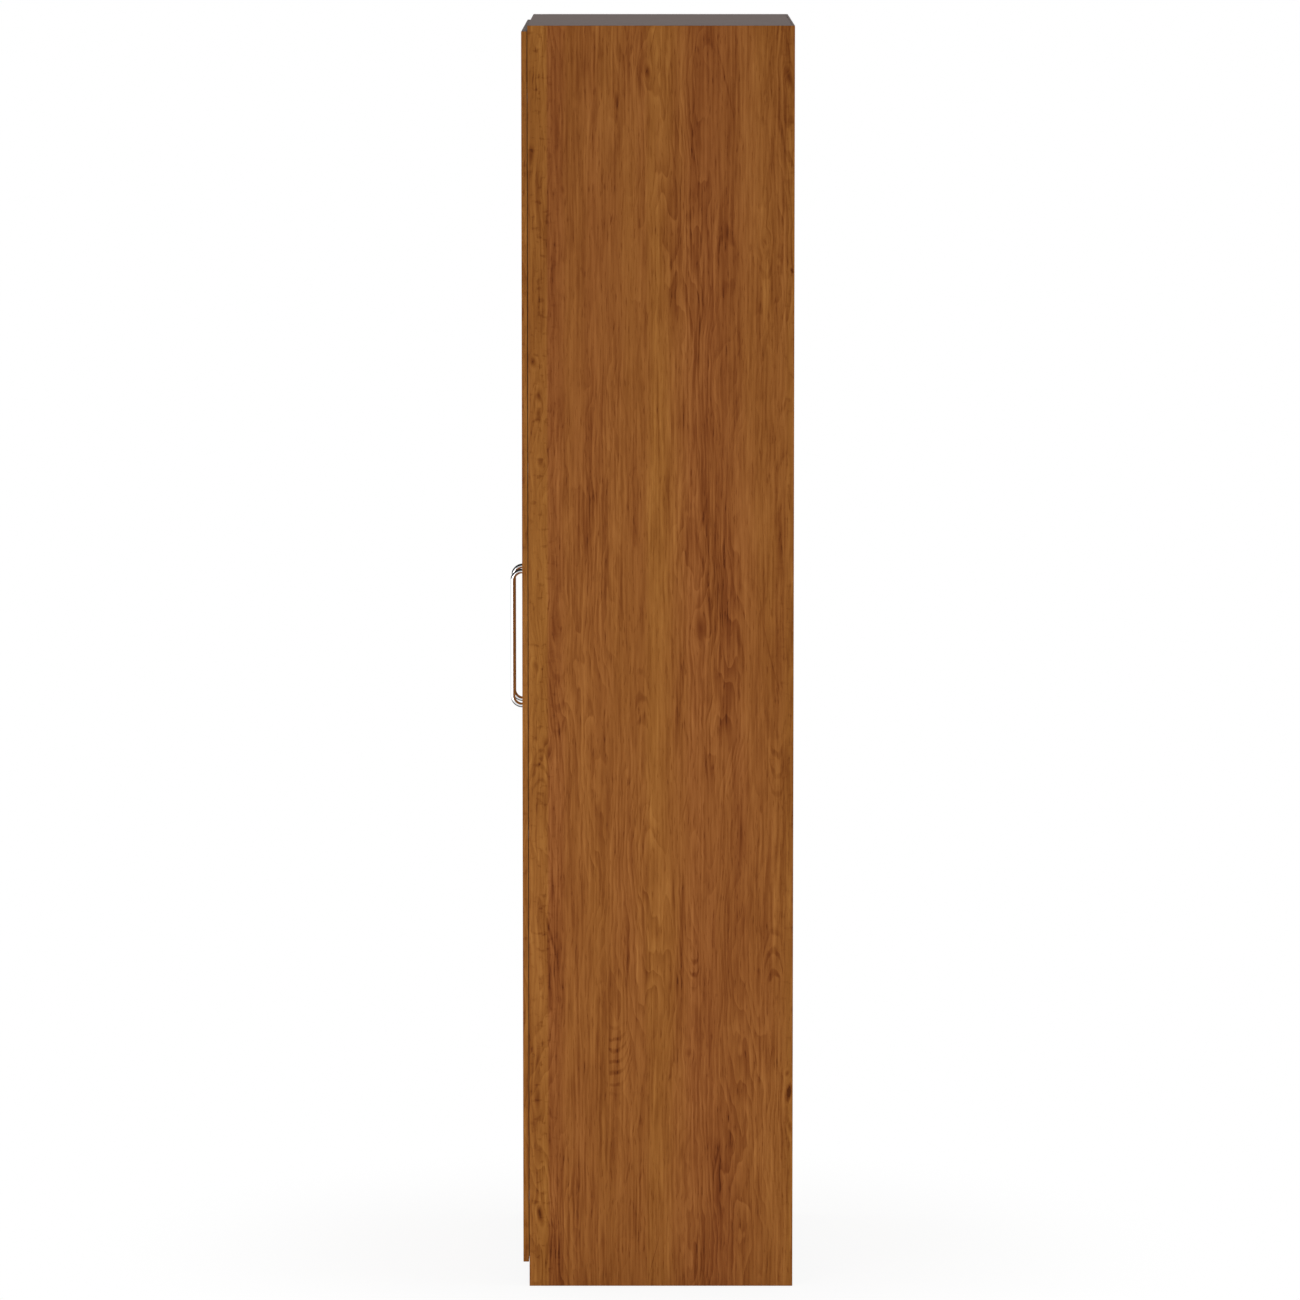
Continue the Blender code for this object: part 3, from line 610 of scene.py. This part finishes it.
def setBump(tree, shader, relief, strength, distance):
    bump = addNode(tree, "Bump", {"Strength": strength, "Distance": distance, "Height": relief})
    plug(tree, bump.outputs[0], shader.inputs["Normal"])


facesFrom = 0.55  # how squarely a face has to look along an axis


def facing(tree, directions):
    # 1 on the faces that look along one of the signed axes
    normal = split(tree, addNode(tree, "TexCoord").outputs["Normal"])
    best = -1.0
    for direction in directions:
        sign = 1.0 if direction[0] == "+" else -1.0
        square = calc(tree, "MULTIPLY", normal["XYZ".index(direction[1])], sign)
        best = calc(tree, "MAXIMUM", best, square)
    return calc(tree, "GREATER_THAN", best, facesFrom)


boardLook = {
    "edgeWidth": 0.0022,
    "edgeShade": 0.05,
    "roughness": 0.52,
    "roughnessSpread": 0.04,
    "woodSpecular": 0.03,
    "bump": 0.12,
    "bumpDepth": 0.0004,
}


def boardFinish(
    name, node, figure=None, corner=None, boardWidth=1.0, woodFaces=(), fibreFaces=(), level=False
):
    # matt grey laminate all round, with wood laminate or bare fibreboard on the faces named
    finish, tree, shader = newFinish(name)
    place = addNode(tree, "TexCoord").outputs["Object"]
    low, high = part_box(node)
    colour, relief = plainColour(tree, greyLook)
    shader.inputs["Specular IOR Level"].default_value = boardLook["woodSpecular"] if woodFaces else 0.0
    if woodFaces:
        mask = facing(tree, woodFaces)
        wood, woodRelief = woodColour(tree, place, figure, corner, boardWidth, level)
        colour = blendColour(tree, mask, colour, wood)
        relief = blend(tree, mask, relief, woodRelief)
    if fibreFaces:
        mask = facing(tree, fibreFaces)
        fibre, fibreRelief = plainColour(tree, fibreLook)
        colour = blendColour(tree, mask, colour, fibre)
        relief = blend(tree, mask, relief, fibreRelief)
    box = {"Low": tuple(low), "High": tuple(high), "Width": boardLook["edgeWidth"]}
    # painted shade: the colour is darkened a little along every edge of the board
    edge = useGroup(tree, paintedEdgeShade, box)["Mask"]
    shade = calc(tree, "SUBTRACT", 1.0, calc(tree, "MULTIPLY", edge, boardLook["edgeShade"]))
    plug(tree, blendColour(tree, 1.0, colour, shade, "MULTIPLY"), shader.inputs["Base Color"])
    rough = calc(tree, "MULTIPLY_ADD", relief, boardLook["roughnessSpread"], boardLook["roughness"])
    plug(tree, rough, shader.inputs["Roughness"])
    setBump(tree, shader, relief, boardLook["bump"], boardLook["bumpDepth"])
    return finish


def dress(node, finish):
    nodes[node].data.materials.clear()
    nodes[node].data.materials.append(finish)


def edgeX(node, side):
    # where a node ends, on the right for side 1 and on the left for -1
    low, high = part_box(node)
    return high.x if side > 0 else low.x


boardFigures = {  # seed, width and height of the area that is scattered over
    "leftPanel": (11, 0.44, 2.1),
    "left": (22, 0.34, 2.1),
    "right": (24, 0.34, 2.1),
    "plinth": (31, 0.6, 0.05),
    "doorOuter": (0.03, 0.6, 0.6),  # tone, gold and flecks of a door's outer plank
}


def dressBoards():
    panelFigures = {"left": scatteredFigure(*boardFigures["leftPanel"]), "right": rightPanelFigure}
    for label, side in sides.items():
        panel = label + "_side_panel"
        low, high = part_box(panel)
        corner = Vector((edgeX(panel, side), low.y, 0))
        outward = "+X" if side > 0 else "-X"
        faces = (outward, "-Y", "+Y")
        dress(panel, boardFinish(
            label + "SideLaminate", panel, panelFigures[label], corner, high.y - low.y, faces
        ))
        door = label + "_door"
        low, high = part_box(door)
        corner = Vector((edgeX(door, side), low.y, 0))
        figure = scatteredFigure(*boardFigures[label], boardFigures["doorOuter"])
        dress(door, boardFinish(
            label + "DoorLaminate", door, figure, corner, high.x - low.x, ("-Y", "+X", "-X")
        ))
    for node in ("top_panel", "bottom_panel", "hat_shelf"):
        dress(node, boardFinish(node + "Laminate", node))
    dress("back_panel", boardFinish("backBoard", "back_panel", fibreFaces=("+Y",)))
    figure = scatteredFigure(*boardFigures["plinth"])
    low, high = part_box("plinth_board")
    dress("plinth_board", boardFinish(
        "plinthLaminate", "plinth_board", figure, low, high.z - low.z, ("-Y",), level=True
    ))


dressBoards()
print("boards dressed")


# Metals and plastic

metalLooks = {  # size is that of the grain, in metres
    "chrome": {
        "light": (236, 237, 238), "dark": (214, 216, 219),
        "roughness": (0.03, 0.07), "size": 0.004, "metallic": 1.0,
    },
    "satin": {
        "light": (228, 229, 230), "dark": (206, 208, 210),
        "roughness": (0.2, 0.3), "size": 0.002, "metallic": 1.0,
    },
    "plated": {
        "light": (212, 211, 208), "dark": (178, 177, 174),
        "roughness": (0.24, 0.38), "size": 0.0009, "metallic": 0.7,
    },
}


def metalFinish(name):
    look = metalLooks[name]
    finish, tree, shader = newFinish(name + "Metal")
    speckle = useGroup(tree, fineSpeckle, {"Size": look["size"]})
    colour = colourRamp(tree, lifted(tree, speckle["Cloud"]), darkToLight(look))
    plug(tree, colour, shader.inputs["Base Color"])
    rough = blend(tree, lifted(tree, speckle["Grain"]), *look["roughness"])
    plug(tree, rough, shader.inputs["Roughness"])
    shader.inputs["Metallic"].default_value = look["metallic"]
    return finish


plasticLook = {
    "light": (68, 63, 59),
    "dark": (50, 46, 43),
    "size": 0.0006,
    "roughness": 0.46,
    "roughnessSpread": 0.06,
    "bump": 0.2,
    "bumpDepth": 0.0002,
}


def plasticFinish():
    look = plasticLook
    finish, tree, shader = newFinish("catchPlastic")
    grain = useGroup(tree, fineSpeckle, {"Size": look["size"]})["Grain"]
    colour = colourRamp(tree, lifted(tree, grain), darkToLight(look))
    plug(tree, colour, shader.inputs["Base Color"])
    rough = calc(tree, "MULTIPLY_ADD", grain, look["roughnessSpread"], look["roughness"])
    plug(tree, rough, shader.inputs["Roughness"])
    setBump(tree, shader, grain, look["bump"], look["bumpDepth"])
    return finish


chrome = metalFinish("chrome")
satin = metalFinish("satin")
plated = metalFinish("plated")
plastic = plasticFinish()

for label in sides:
    for number in hingeNumbers:
        for part in ("cup", "pin", "arm", "plate"):
            dress(f"{label}_hinge_{part}_{number}", plated)
    dress(label + "_strike_plate", plated)
    dress(label + "_magnet_catch", plastic)
print("metals and plastic dressed")


# Mesh helpers

def circle(radius, height, around):
    turn = [2 * math.pi * index / around for index in range(around)]
    return [(radius * math.cos(angle), radius * math.sin(angle), height) for angle in turn]


def oval(tall, thick, height, around=48):
    # upright oval with round ends, tall along its own Y
    reach = (tall - thick) / 2
    points = []
    for x, y, z in circle(thick / 2, height, around):
        points.append((x, y + math.copysign(reach, y + 1e-9), z))
    return points


def crossOutline(reach, half, height):
    quarter = [(half, reach), (half, half), (reach, half)]
    points = []
    for turn in range(4):
        for x, y in quarter:
            for step in range(turn):
                x, y = y, -x
            points.append((x, y, height))
    return points


def standOn(place, axis, roll=0.0):
    # a frame at a place, its Z along the axis and turned about it by roll
    turn = Vector(axis).to_track_quat("Z", "Y").to_matrix().to_4x4()
    return Matrix.Translation(place) @ turn @ Matrix.Rotation(roll, 4, "Z")


def addLoop(bm, points, matrix):
    return [bm.verts.new(matrix @ Vector(point)) for point in points]


def skinLoops(bm, loops):
    for first, second in zip(loops, loops[1:]):
        count = len(first)
        for index in range(count):
            after = (index + 1) % count
            bm.faces.new((first[index], first[after], second[after], second[index]))


def addSkin(bm, rings, matrix, joined=False):
    # rings of points skinned one to the next, capped at both ends or joined round
    loops = [addLoop(bm, ring, matrix) for ring in rings]
    skinLoops(bm, loops + loops[:1] if joined else loops)
    if not joined:
        bm.faces.new(loops[0])
        bm.faces.new(loops[-1])


def loopEdges(bm, loop):
    return [bm.edges.get((vert, loop[index - 1])) for index, vert in enumerate(loop)]


crossArm = 0.24  # half the width of a cross's arms, for its reach


def addScrew(bm, profile, crossReach, crossDepth, matrix, around=28):
    # turned from its tip to the top of its head, where a cross is sunk
    loops = [addLoop(bm, circle(radius, height, around), matrix) for radius, height in profile]
    skinLoops(bm, loops)
    bm.faces.new(loops[0])
    top = profile[-1][1]
    half = crossReach * crossArm
    rim = addLoop(bm, crossOutline(crossReach, half, top), matrix)
    floor = addLoop(bm, crossOutline(crossReach, half, top - crossDepth), matrix)
    skinLoops(bm, [rim, floor])
    bm.faces.new(floor)
    bmesh.ops.triangle_fill(bm, use_beauty=True, edges=loopEdges(bm, loops[-1]) + loopEdges(bm, rim))


def addSlab(bm, low, high, rounding):
    made = bmesh.ops.create_cube(bm, size=1.0)["verts"]
    bmesh.ops.scale(bm, vec=Vector(high) - Vector(low), verts=made)
    bmesh.ops.translate(bm, vec=(Vector(high) + Vector(low)) / 2, verts=made)
    edges = list({edge for vert in made for edge in vert.link_edges})
    bmesh.ops.bevel(bm, geom=edges, offset=rounding, segments=2, profile=0.5, affect="EDGES")


sharpFrom = math.radians(35)


def makePiece(name, bm, body, stands=(), finish=plated):
    bmesh.ops.recalc_face_normals(bm, faces=bm.faces)
    mesh = bpy.data.meshes.new(name)
    bm.to_mesh(mesh)
    bm.free()
    mesh.shade_smooth()
    mesh.set_sharp_from_angle(angle=sharpFrom)
    mesh.materials.append(finish)
    piece = bpy.data.objects.new(name, mesh)
    scene.collection.objects.link(piece)
    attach(piece, body)
    if stands:
        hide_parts(*stands)


def middleOf(node):
    low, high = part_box(node)
    return (low + high) / 2


rolls = random.Random(5)  # how far each screw is turned
# a screw head from its seat up, as shares of its radius and height
headShape = [(0.97, 0.0), (1.0, 0.2), (0.94, 0.62), (0.8, 0.9), (0.66, 1.0)]


def headProfile(radius, height):
    return [(radius * wide, height * tall) for wide, tall in headShape]


def makeHeads(name, body, *rows):
    # a fitting's screw heads; a row gives their places, the way they face and their sizes
    bm = bmesh.new()
    for places, axis, look in rows:
        profile = headProfile(look["radius"], look["height"])
        for place in places:
            matrix = standOn(place, axis, rolls.uniform(0.0, math.pi))
            addScrew(bm, profile, look["cross"], look["sunk"], matrix)
    makePiece(name, bm, body)


# Bow handles and their screws

handleLook = {"bend": 0.016, "bendSteps": 18, "around": 40}
handleScrewLook = {"shank": 0.002, "tip": 0.0006, "headHeight": 0.0022, "cross": 0.0022, "sunk": 0.0012}


def makeHandle(label):
    node = label + "_handle"
    low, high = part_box(node)
    rod = high.x - low.x
    out = low.y + rod / 2
    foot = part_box(label + "_door")[0].y
    bend = handleLook["bend"]
    path = [(foot, low.z + rod / 2)]
    for middleZ, start in ((low.z + rod / 2 + bend, 270), (high.z - rod / 2 - bend, 180)):
        for step in range(handleLook["bendSteps"] + 1):
            angle = math.radians(start - 90 * step / handleLook["bendSteps"])
            path.append((out + bend + bend * math.cos(angle), middleZ + bend * math.sin(angle)))
    path.append((foot, high.z - rod / 2))
    rings = []
    for index, (y, z) in enumerate(path):
        before, after = path[max(index - 1, 0)], path[min(index + 1, len(path) - 1)]
        along = Vector((0, after[0] - before[0], after[1] - before[1])).normalized()
        across = Vector((1, 0, 0))
        outward = along.cross(across)
        middle = Vector(((low.x + high.x) / 2, y, z))
        ring = circle(rod / 2, 0, handleLook["around"])
        rings.append([middle + across * px + outward * py for px, py, pz in ring])
    bm = bmesh.new()
    addSkin(bm, rings, Matrix())
    makePiece(label + "_bow_handle", bm, label + "_door", [node], chrome)


def makeHandleScrew(label, end):
    node = f"{label}_{end}_handle_screw"
    low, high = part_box(node)
    look = handleScrewLook
    seat = high.y - look["headHeight"]
    tip = low.y - seat
    shank = look["shank"]
    profile = [(shank - look["tip"], tip), (shank, tip + look["tip"]), (shank, 0.0)]
    profile += headProfile((high.x - low.x) / 2, look["headHeight"])
    middle = middleOf(node)
    bm = bmesh.new()
    matrix = standOn((middle.x, seat, middle.z), (0, 1, 0), rolls.uniform(0.0, math.pi))
    addScrew(bm, profile, look["cross"], look["sunk"], matrix)
    makePiece(f"{label}_{end}_pan_screw", bm, label + "_door", [node])


for label in sides:
    makeHandle(label)
    for end in ("lower", "upper"):
        makeHandleScrew(label, end)
print("handles made")


# Hinge screws

hingeScrews = {
    "flange": {"radius": 0.0030, "height": 0.00035, "cross": 0.0013, "sunk": 0.0003},
    "plate": {"radius": 0.0036, "height": 0.0016, "cross": 0.0019, "sunk": 0.0009},
    "arm": {"radius": 0.0032, "height": 0.0012, "cross": 0.0017, "sunk": 0.0007},
    "earFromEnd": 0.005,
    "plateFromEnd": 0.006,
    "armFromEnd": (0.009, 0.025),
}


def makeHingeScrews(label, side, number):
    look = hingeScrews
    door = label + "_door"
    cup, plate, arm = (f"{label}_hinge_{part}_{number}" for part in ("cup", "plate", "arm"))
    low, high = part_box(cup)
    x = (pivots[door].x + edgeX(cup, -side)) / 2
    ends = (low.z + look["earFromEnd"], high.z - look["earFromEnd"])
    ears = [(x, high.y, z) for z in ends]
    makeHeads(f"{label}_flange_screws_{number}", door, (ears, (0, 1, 0), look["flange"]))

    inward = (-side, 0, 0)
    low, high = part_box(plate)
    ends = (low.z + look["plateFromEnd"], high.z - look["plateFromEnd"])
    onPlate = [(edgeX(plate, -side), (low.y + high.y) / 2, z) for z in ends]
    low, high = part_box(arm)
    middleZ = (low.z + high.z) / 2
    onArm = [(edgeX(arm, -side), high.y - reach, middleZ) for reach in look["armFromEnd"]]
    rows = (onPlate, inward, look["plate"]), (onArm, inward, look["arm"])
    makeHeads(f"{label}_plate_screws_{number}", "carcass", *rows)


for label, side in sides.items():
    for number in hingeNumbers:
        makeHingeScrews(label, side, number)
print("hinge screws made")


# Magnet catches and strike plates

catchLook = {
    "poleWide": 0.034,
    "poleTall": 0.0018,
    "poleFromMiddle": 0.0038,
    "poleProud": 0.00015,
    "poleDeep": 0.004,
    "poleRounding": 0.0001,
    "screwFromMiddle": 0.017,
    "screw": {"radius": 0.003, "height": 0.0012, "cross": 0.0016, "sunk": 0.0007},
    "strikeScrewFromMiddle": 0.012,
    "strikeScrew": {"radius": 0.0021, "height": 0.0001, "cross": 0.0012, "sunk": 0.00008},
}


def makeCatch(label):
    node = label + "_magnet_catch"
    low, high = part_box(node)
    middle = middleOf(node)
    half = Vector((catchLook["poleWide"] / 2, 0, catchLook["poleTall"] / 2))
    deep = Vector((0, catchLook["poleDeep"], 0))
    bm = bmesh.new()
    for sign in (-1, 1):
        z = middle.z + sign * catchLook["poleFromMiddle"]
        front = Vector((middle.x, low.y - catchLook["poleProud"], z))
        addSlab(bm, front - half, front + half + deep, catchLook["poleRounding"])
    makePiece(label + "_catch_poles", bm, "carcass")
    reach = catchLook["screwFromMiddle"]
    places = [(middle.x + sign * reach, middle.y, low.z) for sign in (-1, 1)]
    makeHeads(label + "_catch_screws", "carcass", (places, (0, 0, -1), catchLook["screw"]))


def makeStrikeScrews(label):
    node = label + "_strike_plate"
    low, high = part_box(node)
    middle = middleOf(node)
    reach = catchLook["strikeScrewFromMiddle"]
    places = [(middle.x + sign * reach, high.y, middle.z) for sign in (-1, 1)]
    makeHeads(label + "_strike_screws", label + "_door", (places, (0, 1, 0), catchLook["strikeScrew"]))


for label in sides:
    makeCatch(label)
    makeStrikeScrews(label)
print("catches made")


# Hanging rail, its sockets and the shelf pins

railLook = {"wall": 0.0012, "rounding": 0.0003}
socketLook = {
    "lipSheet": 0.003,
    "wall": 0.0025,
    "play": 0.0006,
    "base": 0.003,
    "rounding": 0.0006,
    "screw": {"radius": 0.0027, "height": 0.0011, "cross": 0.0014, "sunk": 0.0006},
    "screwFromEnd": 0.0036,
}
pinLook = {"radius": 0.0025, "collarSheet": 0.001, "seat": 0.0003, "rounding": 0.0004, "around": 32}


def makeRail():
    low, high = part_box("hanging_rail")
    tall, thick, length = high.z - low.z, high.y - low.y, high.x - low.x
    wall, rounding = railLook["wall"], railLook["rounding"]
    bore = (tall - 2 * wall, thick - 2 * wall)
    end = (tall - 2 * rounding, thick - 2 * rounding)
    rings = [
        oval(*end, 0.0),
        oval(tall, thick, rounding),
        oval(tall, thick, length - rounding),
        oval(*end, length),
        oval(*bore, length),
        oval(*bore, 0.0),
    ]
    middle = middleOf("hanging_rail")
    bm = bmesh.new()
    addSkin(bm, rings, standOn((low.x, middle.y, middle.z), (1, 0, 0)), joined=True)
    makePiece("oval_rail", bm, "carcass", ["hanging_rail"], satin)


def makeSocket(label, side):
    node = label + "_rail_socket"
    low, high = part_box(node)
    railLow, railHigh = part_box("hanging_rail")
    lip = (high.z - low.z, high.y - low.y)
    bore = (railHigh.z - railLow.z + socketLook["play"], railHigh.y - railLow.y + socketLook["play"])
    cup = tuple(size + 2 * socketLook["wall"] for size in bore)
    depth, sheet, rounding = high.x - low.x, socketLook["lipSheet"], socketLook["rounding"]

    def ring(sizes, inset, height):
        return oval(sizes[0] - 2 * inset, sizes[1] - 2 * inset, height)

    rings = [
        ring(lip, 0, 0.0),
        ring(lip, 0, sheet - rounding),
        ring(lip, rounding, sheet),
        ring(cup, 0, sheet),
        ring(cup, 0, depth - rounding),
        ring(cup, rounding, depth),
        ring(bore, -rounding / 2, depth),
        ring(bore, 0, depth - rounding),
        ring(bore, 0, socketLook["base"]),
    ]
    middle = middleOf(node)
    wallX = edgeX(node, side)
    bm = bmesh.new()
    addSkin(bm, rings, standOn((wallX, middle.y, middle.z), (-side, 0, 0)))
    makePiece(label + "_oval_socket", bm, "carcass", [node])
    ends = (low.z + socketLook["screwFromEnd"], high.z - socketLook["screwFromEnd"])
    places = [(wallX - side * sheet, middle.y, z) for z in ends]
    makeHeads(label + "_socket_screws", "carcass", (places, (-side, 0, 0), socketLook["screw"]))


def makeShelfPin(label, side, row):
    node = f"{label}_{row}_shelf_pin"
    low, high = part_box(node)
    length = high.x - low.x
    collar = (high.z - low.z) / 2
    radius, rounding = pinLook["radius"], pinLook["rounding"]
    under = length / 2 + pinLook["seat"]  # the pin is half in the board
    over = under + pinLook["collarSheet"]
    profile = [
        (radius - rounding, 0.0),
        (radius, rounding),
        (radius, under),
        (collar - rounding / 2, under),
        (collar, under + rounding / 2),
        (collar, over - rounding / 2),
        (collar - rounding / 2, over),
        (radius, over),
        (radius, length - rounding),
        (radius - rounding, length),
    ]
    middle = middleOf(node)
    bm = bmesh.new()
    rings = [circle(size, height, pinLook["around"]) for size, height in profile]
    addSkin(bm, rings, standOn((edgeX(node, side), middle.y, middle.z), (-side, 0, 0)))
    makePiece(f"{label}_{row}_turned_pin", bm, "carcass", [node])


makeRail()
for label, side in sides.items():
    makeSocket(label, side)
    for row in ("front", "rear"):
        makeShelfPin(label, side, row)
print("rail, sockets and shelf pins made")


# Stage: floor, air, softboxes and camera

studio = {
    "airLow": 0.62,
    "airHigh": 0.4,
    "airFade": (0.0, 0.9),
    "mirrorHigh": 0.03,
    "mirrorFade": (-0.02, 0.04),  # how steeply a ray rises where the ceiling begins and is full
    "mirrorLift": 0.35,  # how much higher it begins towards +X
    "floor": (246, 246, 246),
    "floorReach": 40.0,
    "floorSides": 96,
    "shadowShare": 0.11,
    "shadowReach": (0.4, 1.0),
    "mirrorFloor": 0.06,
    "mirrorPatch": (-1.5, -0.2, 0.0),  # middle of the dark patch of floor that metal shows
    "mirrorPatchReach": (1.7, 2.6),
    "softboxes": [  # place, size, watts, shown in metal
        ((2.9, -1.6, 0.85), 1.6, 38.0, True),
        ((-0.9, -4.6, 1.5), 2.4, 50.0, False),
        ((-4.5, 0.4, 1.6), 2.4, 45.0, False),
        ((0.6, 4.0, 2.0), 2.4, 60.0, True),
        ((0.0, 0.0, 4.5), 2.4, 38.0, False),
    ],
    "aim": (0.0, 0.0, 1.0),
}

cameraLook = {
    "place": (12.5125, -0.00085, 2.472),
    "pitch": 6.562,  # degrees below level
    "lens": 205.35,
    "sensor": 36.0,
    "farthest": 200.0,
}


def seenRays(tree):
    # straight from the camera, and by way of metal or glass
    path = addNode(tree, "LightPath").outputs
    mirrored = calc(tree, "MAXIMUM", path["Is Glossy Ray"], path["Is Transmission Ray"])
    return path["Is Camera Ray"], mirrored


def makeAir():
    # light that fades towards the top, white where the camera sees it; metal shows a dark ceiling
    world = bpy.data.worlds.new("studioAir")
    world.use_nodes = True
    scene.world = world
    tree = world.node_tree
    tree.nodes.clear()
    heading = split(tree, addNode(tree, "TexCoord").outputs["Generated"])
    rise = heading["Z"]
    light = blend(tree, ease(tree, rise, *studio["airFade"]), studio["airLow"], studio["airHigh"])
    towardsRight = calc(tree, "MAXIMUM", heading["X"], 0.0)
    steep = calc(tree, "MULTIPLY_ADD", towardsRight, -studio["mirrorLift"], rise)
    mirror = blend(tree, ease(tree, steep, *studio["mirrorFade"]), 1.0, studio["mirrorHigh"])
    direct, mirrored = seenRays(tree)
    strength = blend(tree, direct, blend(tree, mirrored, light, mirror), 1.0)
    air = addNode(tree, "Background", {"Color": (1, 1, 1, 1), "Strength": strength})
    leave = addNode(tree, "OutputWorld")
    plug(tree, air.outputs[0], leave.inputs["Surface"])


def makeFloor():
    # pale, with a soft shadow near the object; metal shows a dark patch of it
    mesh = bpy.data.meshes.new("studioFloor")
    bm = bmesh.new()
    reach = studio["floorReach"]
    bmesh.ops.create_circle(bm, cap_ends=True, segments=studio["floorSides"], radius=reach)
    bm.to_mesh(mesh)
    bm.free()
    floor = bpy.data.objects.new("studioFloor", mesh)
    scene.collection.objects.link(floor)
    finish = bpy.data.materials.new("studioFloor")
    finish.use_nodes = True
    tree = finish.node_tree
    tree.nodes.clear()
    place = addNode(tree, "TexCoord").outputs["Object"]
    far = ease(tree, lengthOf(tree, place), *studio["shadowReach"])
    share = blend(tree, far, 1.0 - studio["shadowShare"], 1.0)
    direct, mirrored = seenRays(tree)
    fromPatch = lengthOf(tree, vectorCalc(tree, "SUBTRACT", place, studio["mirrorPatch"]))
    patch = blend(tree, ease(tree, fromPatch, *studio["mirrorPatchReach"]), studio["mirrorFloor"], 1.0)
    lit = addNode(tree, "BsdfDiffuse", {"Color": paint(*studio["floor"])})
    strength = blend(tree, mirrored, 1.0, patch)
    glow = addNode(tree, "Emission", {"Color": (1, 1, 1, 1), "Strength": strength})
    factor = calc(tree, "MULTIPLY", calc(tree, "MAXIMUM", direct, mirrored), share)
    mixed = addNode(tree, "MixShader", {0: factor, 1: lit.outputs[0], 2: glow.outputs[0]})
    leave = addNode(tree, "OutputMaterial")
    plug(tree, mixed.outputs[0], leave.inputs["Surface"])
    mesh.materials.append(finish)


def makeSoftboxes():
    for index, (place, size, watts, inMetal) in enumerate(studio["softboxes"]):
        light = bpy.data.lights.new(f"softbox{index + 1}", "AREA")
        light.shape = "SQUARE"
        light.size = size
        light.energy = watts
        box = bpy.data.objects.new(light.name, light)
        box.location = place
        towards = Vector(studio["aim"]) - Vector(place)
        box.rotation_euler = towards.to_track_quat("-Z", "Y").to_euler()
        box.visible_camera = False
        box.visible_glossy = inMetal
        scene.collection.objects.link(box)


def makeCamera():
    data = bpy.data.cameras.new("viewCamera")
    data.sensor_width = cameraLook["sensor"]
    data.lens = cameraLook["lens"]
    data.clip_end = cameraLook["farthest"]
    camera = bpy.data.objects.new("viewCamera", data)
    camera.location = cameraLook["place"]
    camera.rotation_euler = (math.radians(90 - cameraLook["pitch"]), 0.0, math.radians(90))
    scene.collection.objects.link(camera)
    scene.camera = camera


makeAir()
makeFloor()
makeSoftboxes()
makeCamera()
scene.view_settings.view_transform = "Standard"
print("stage set")
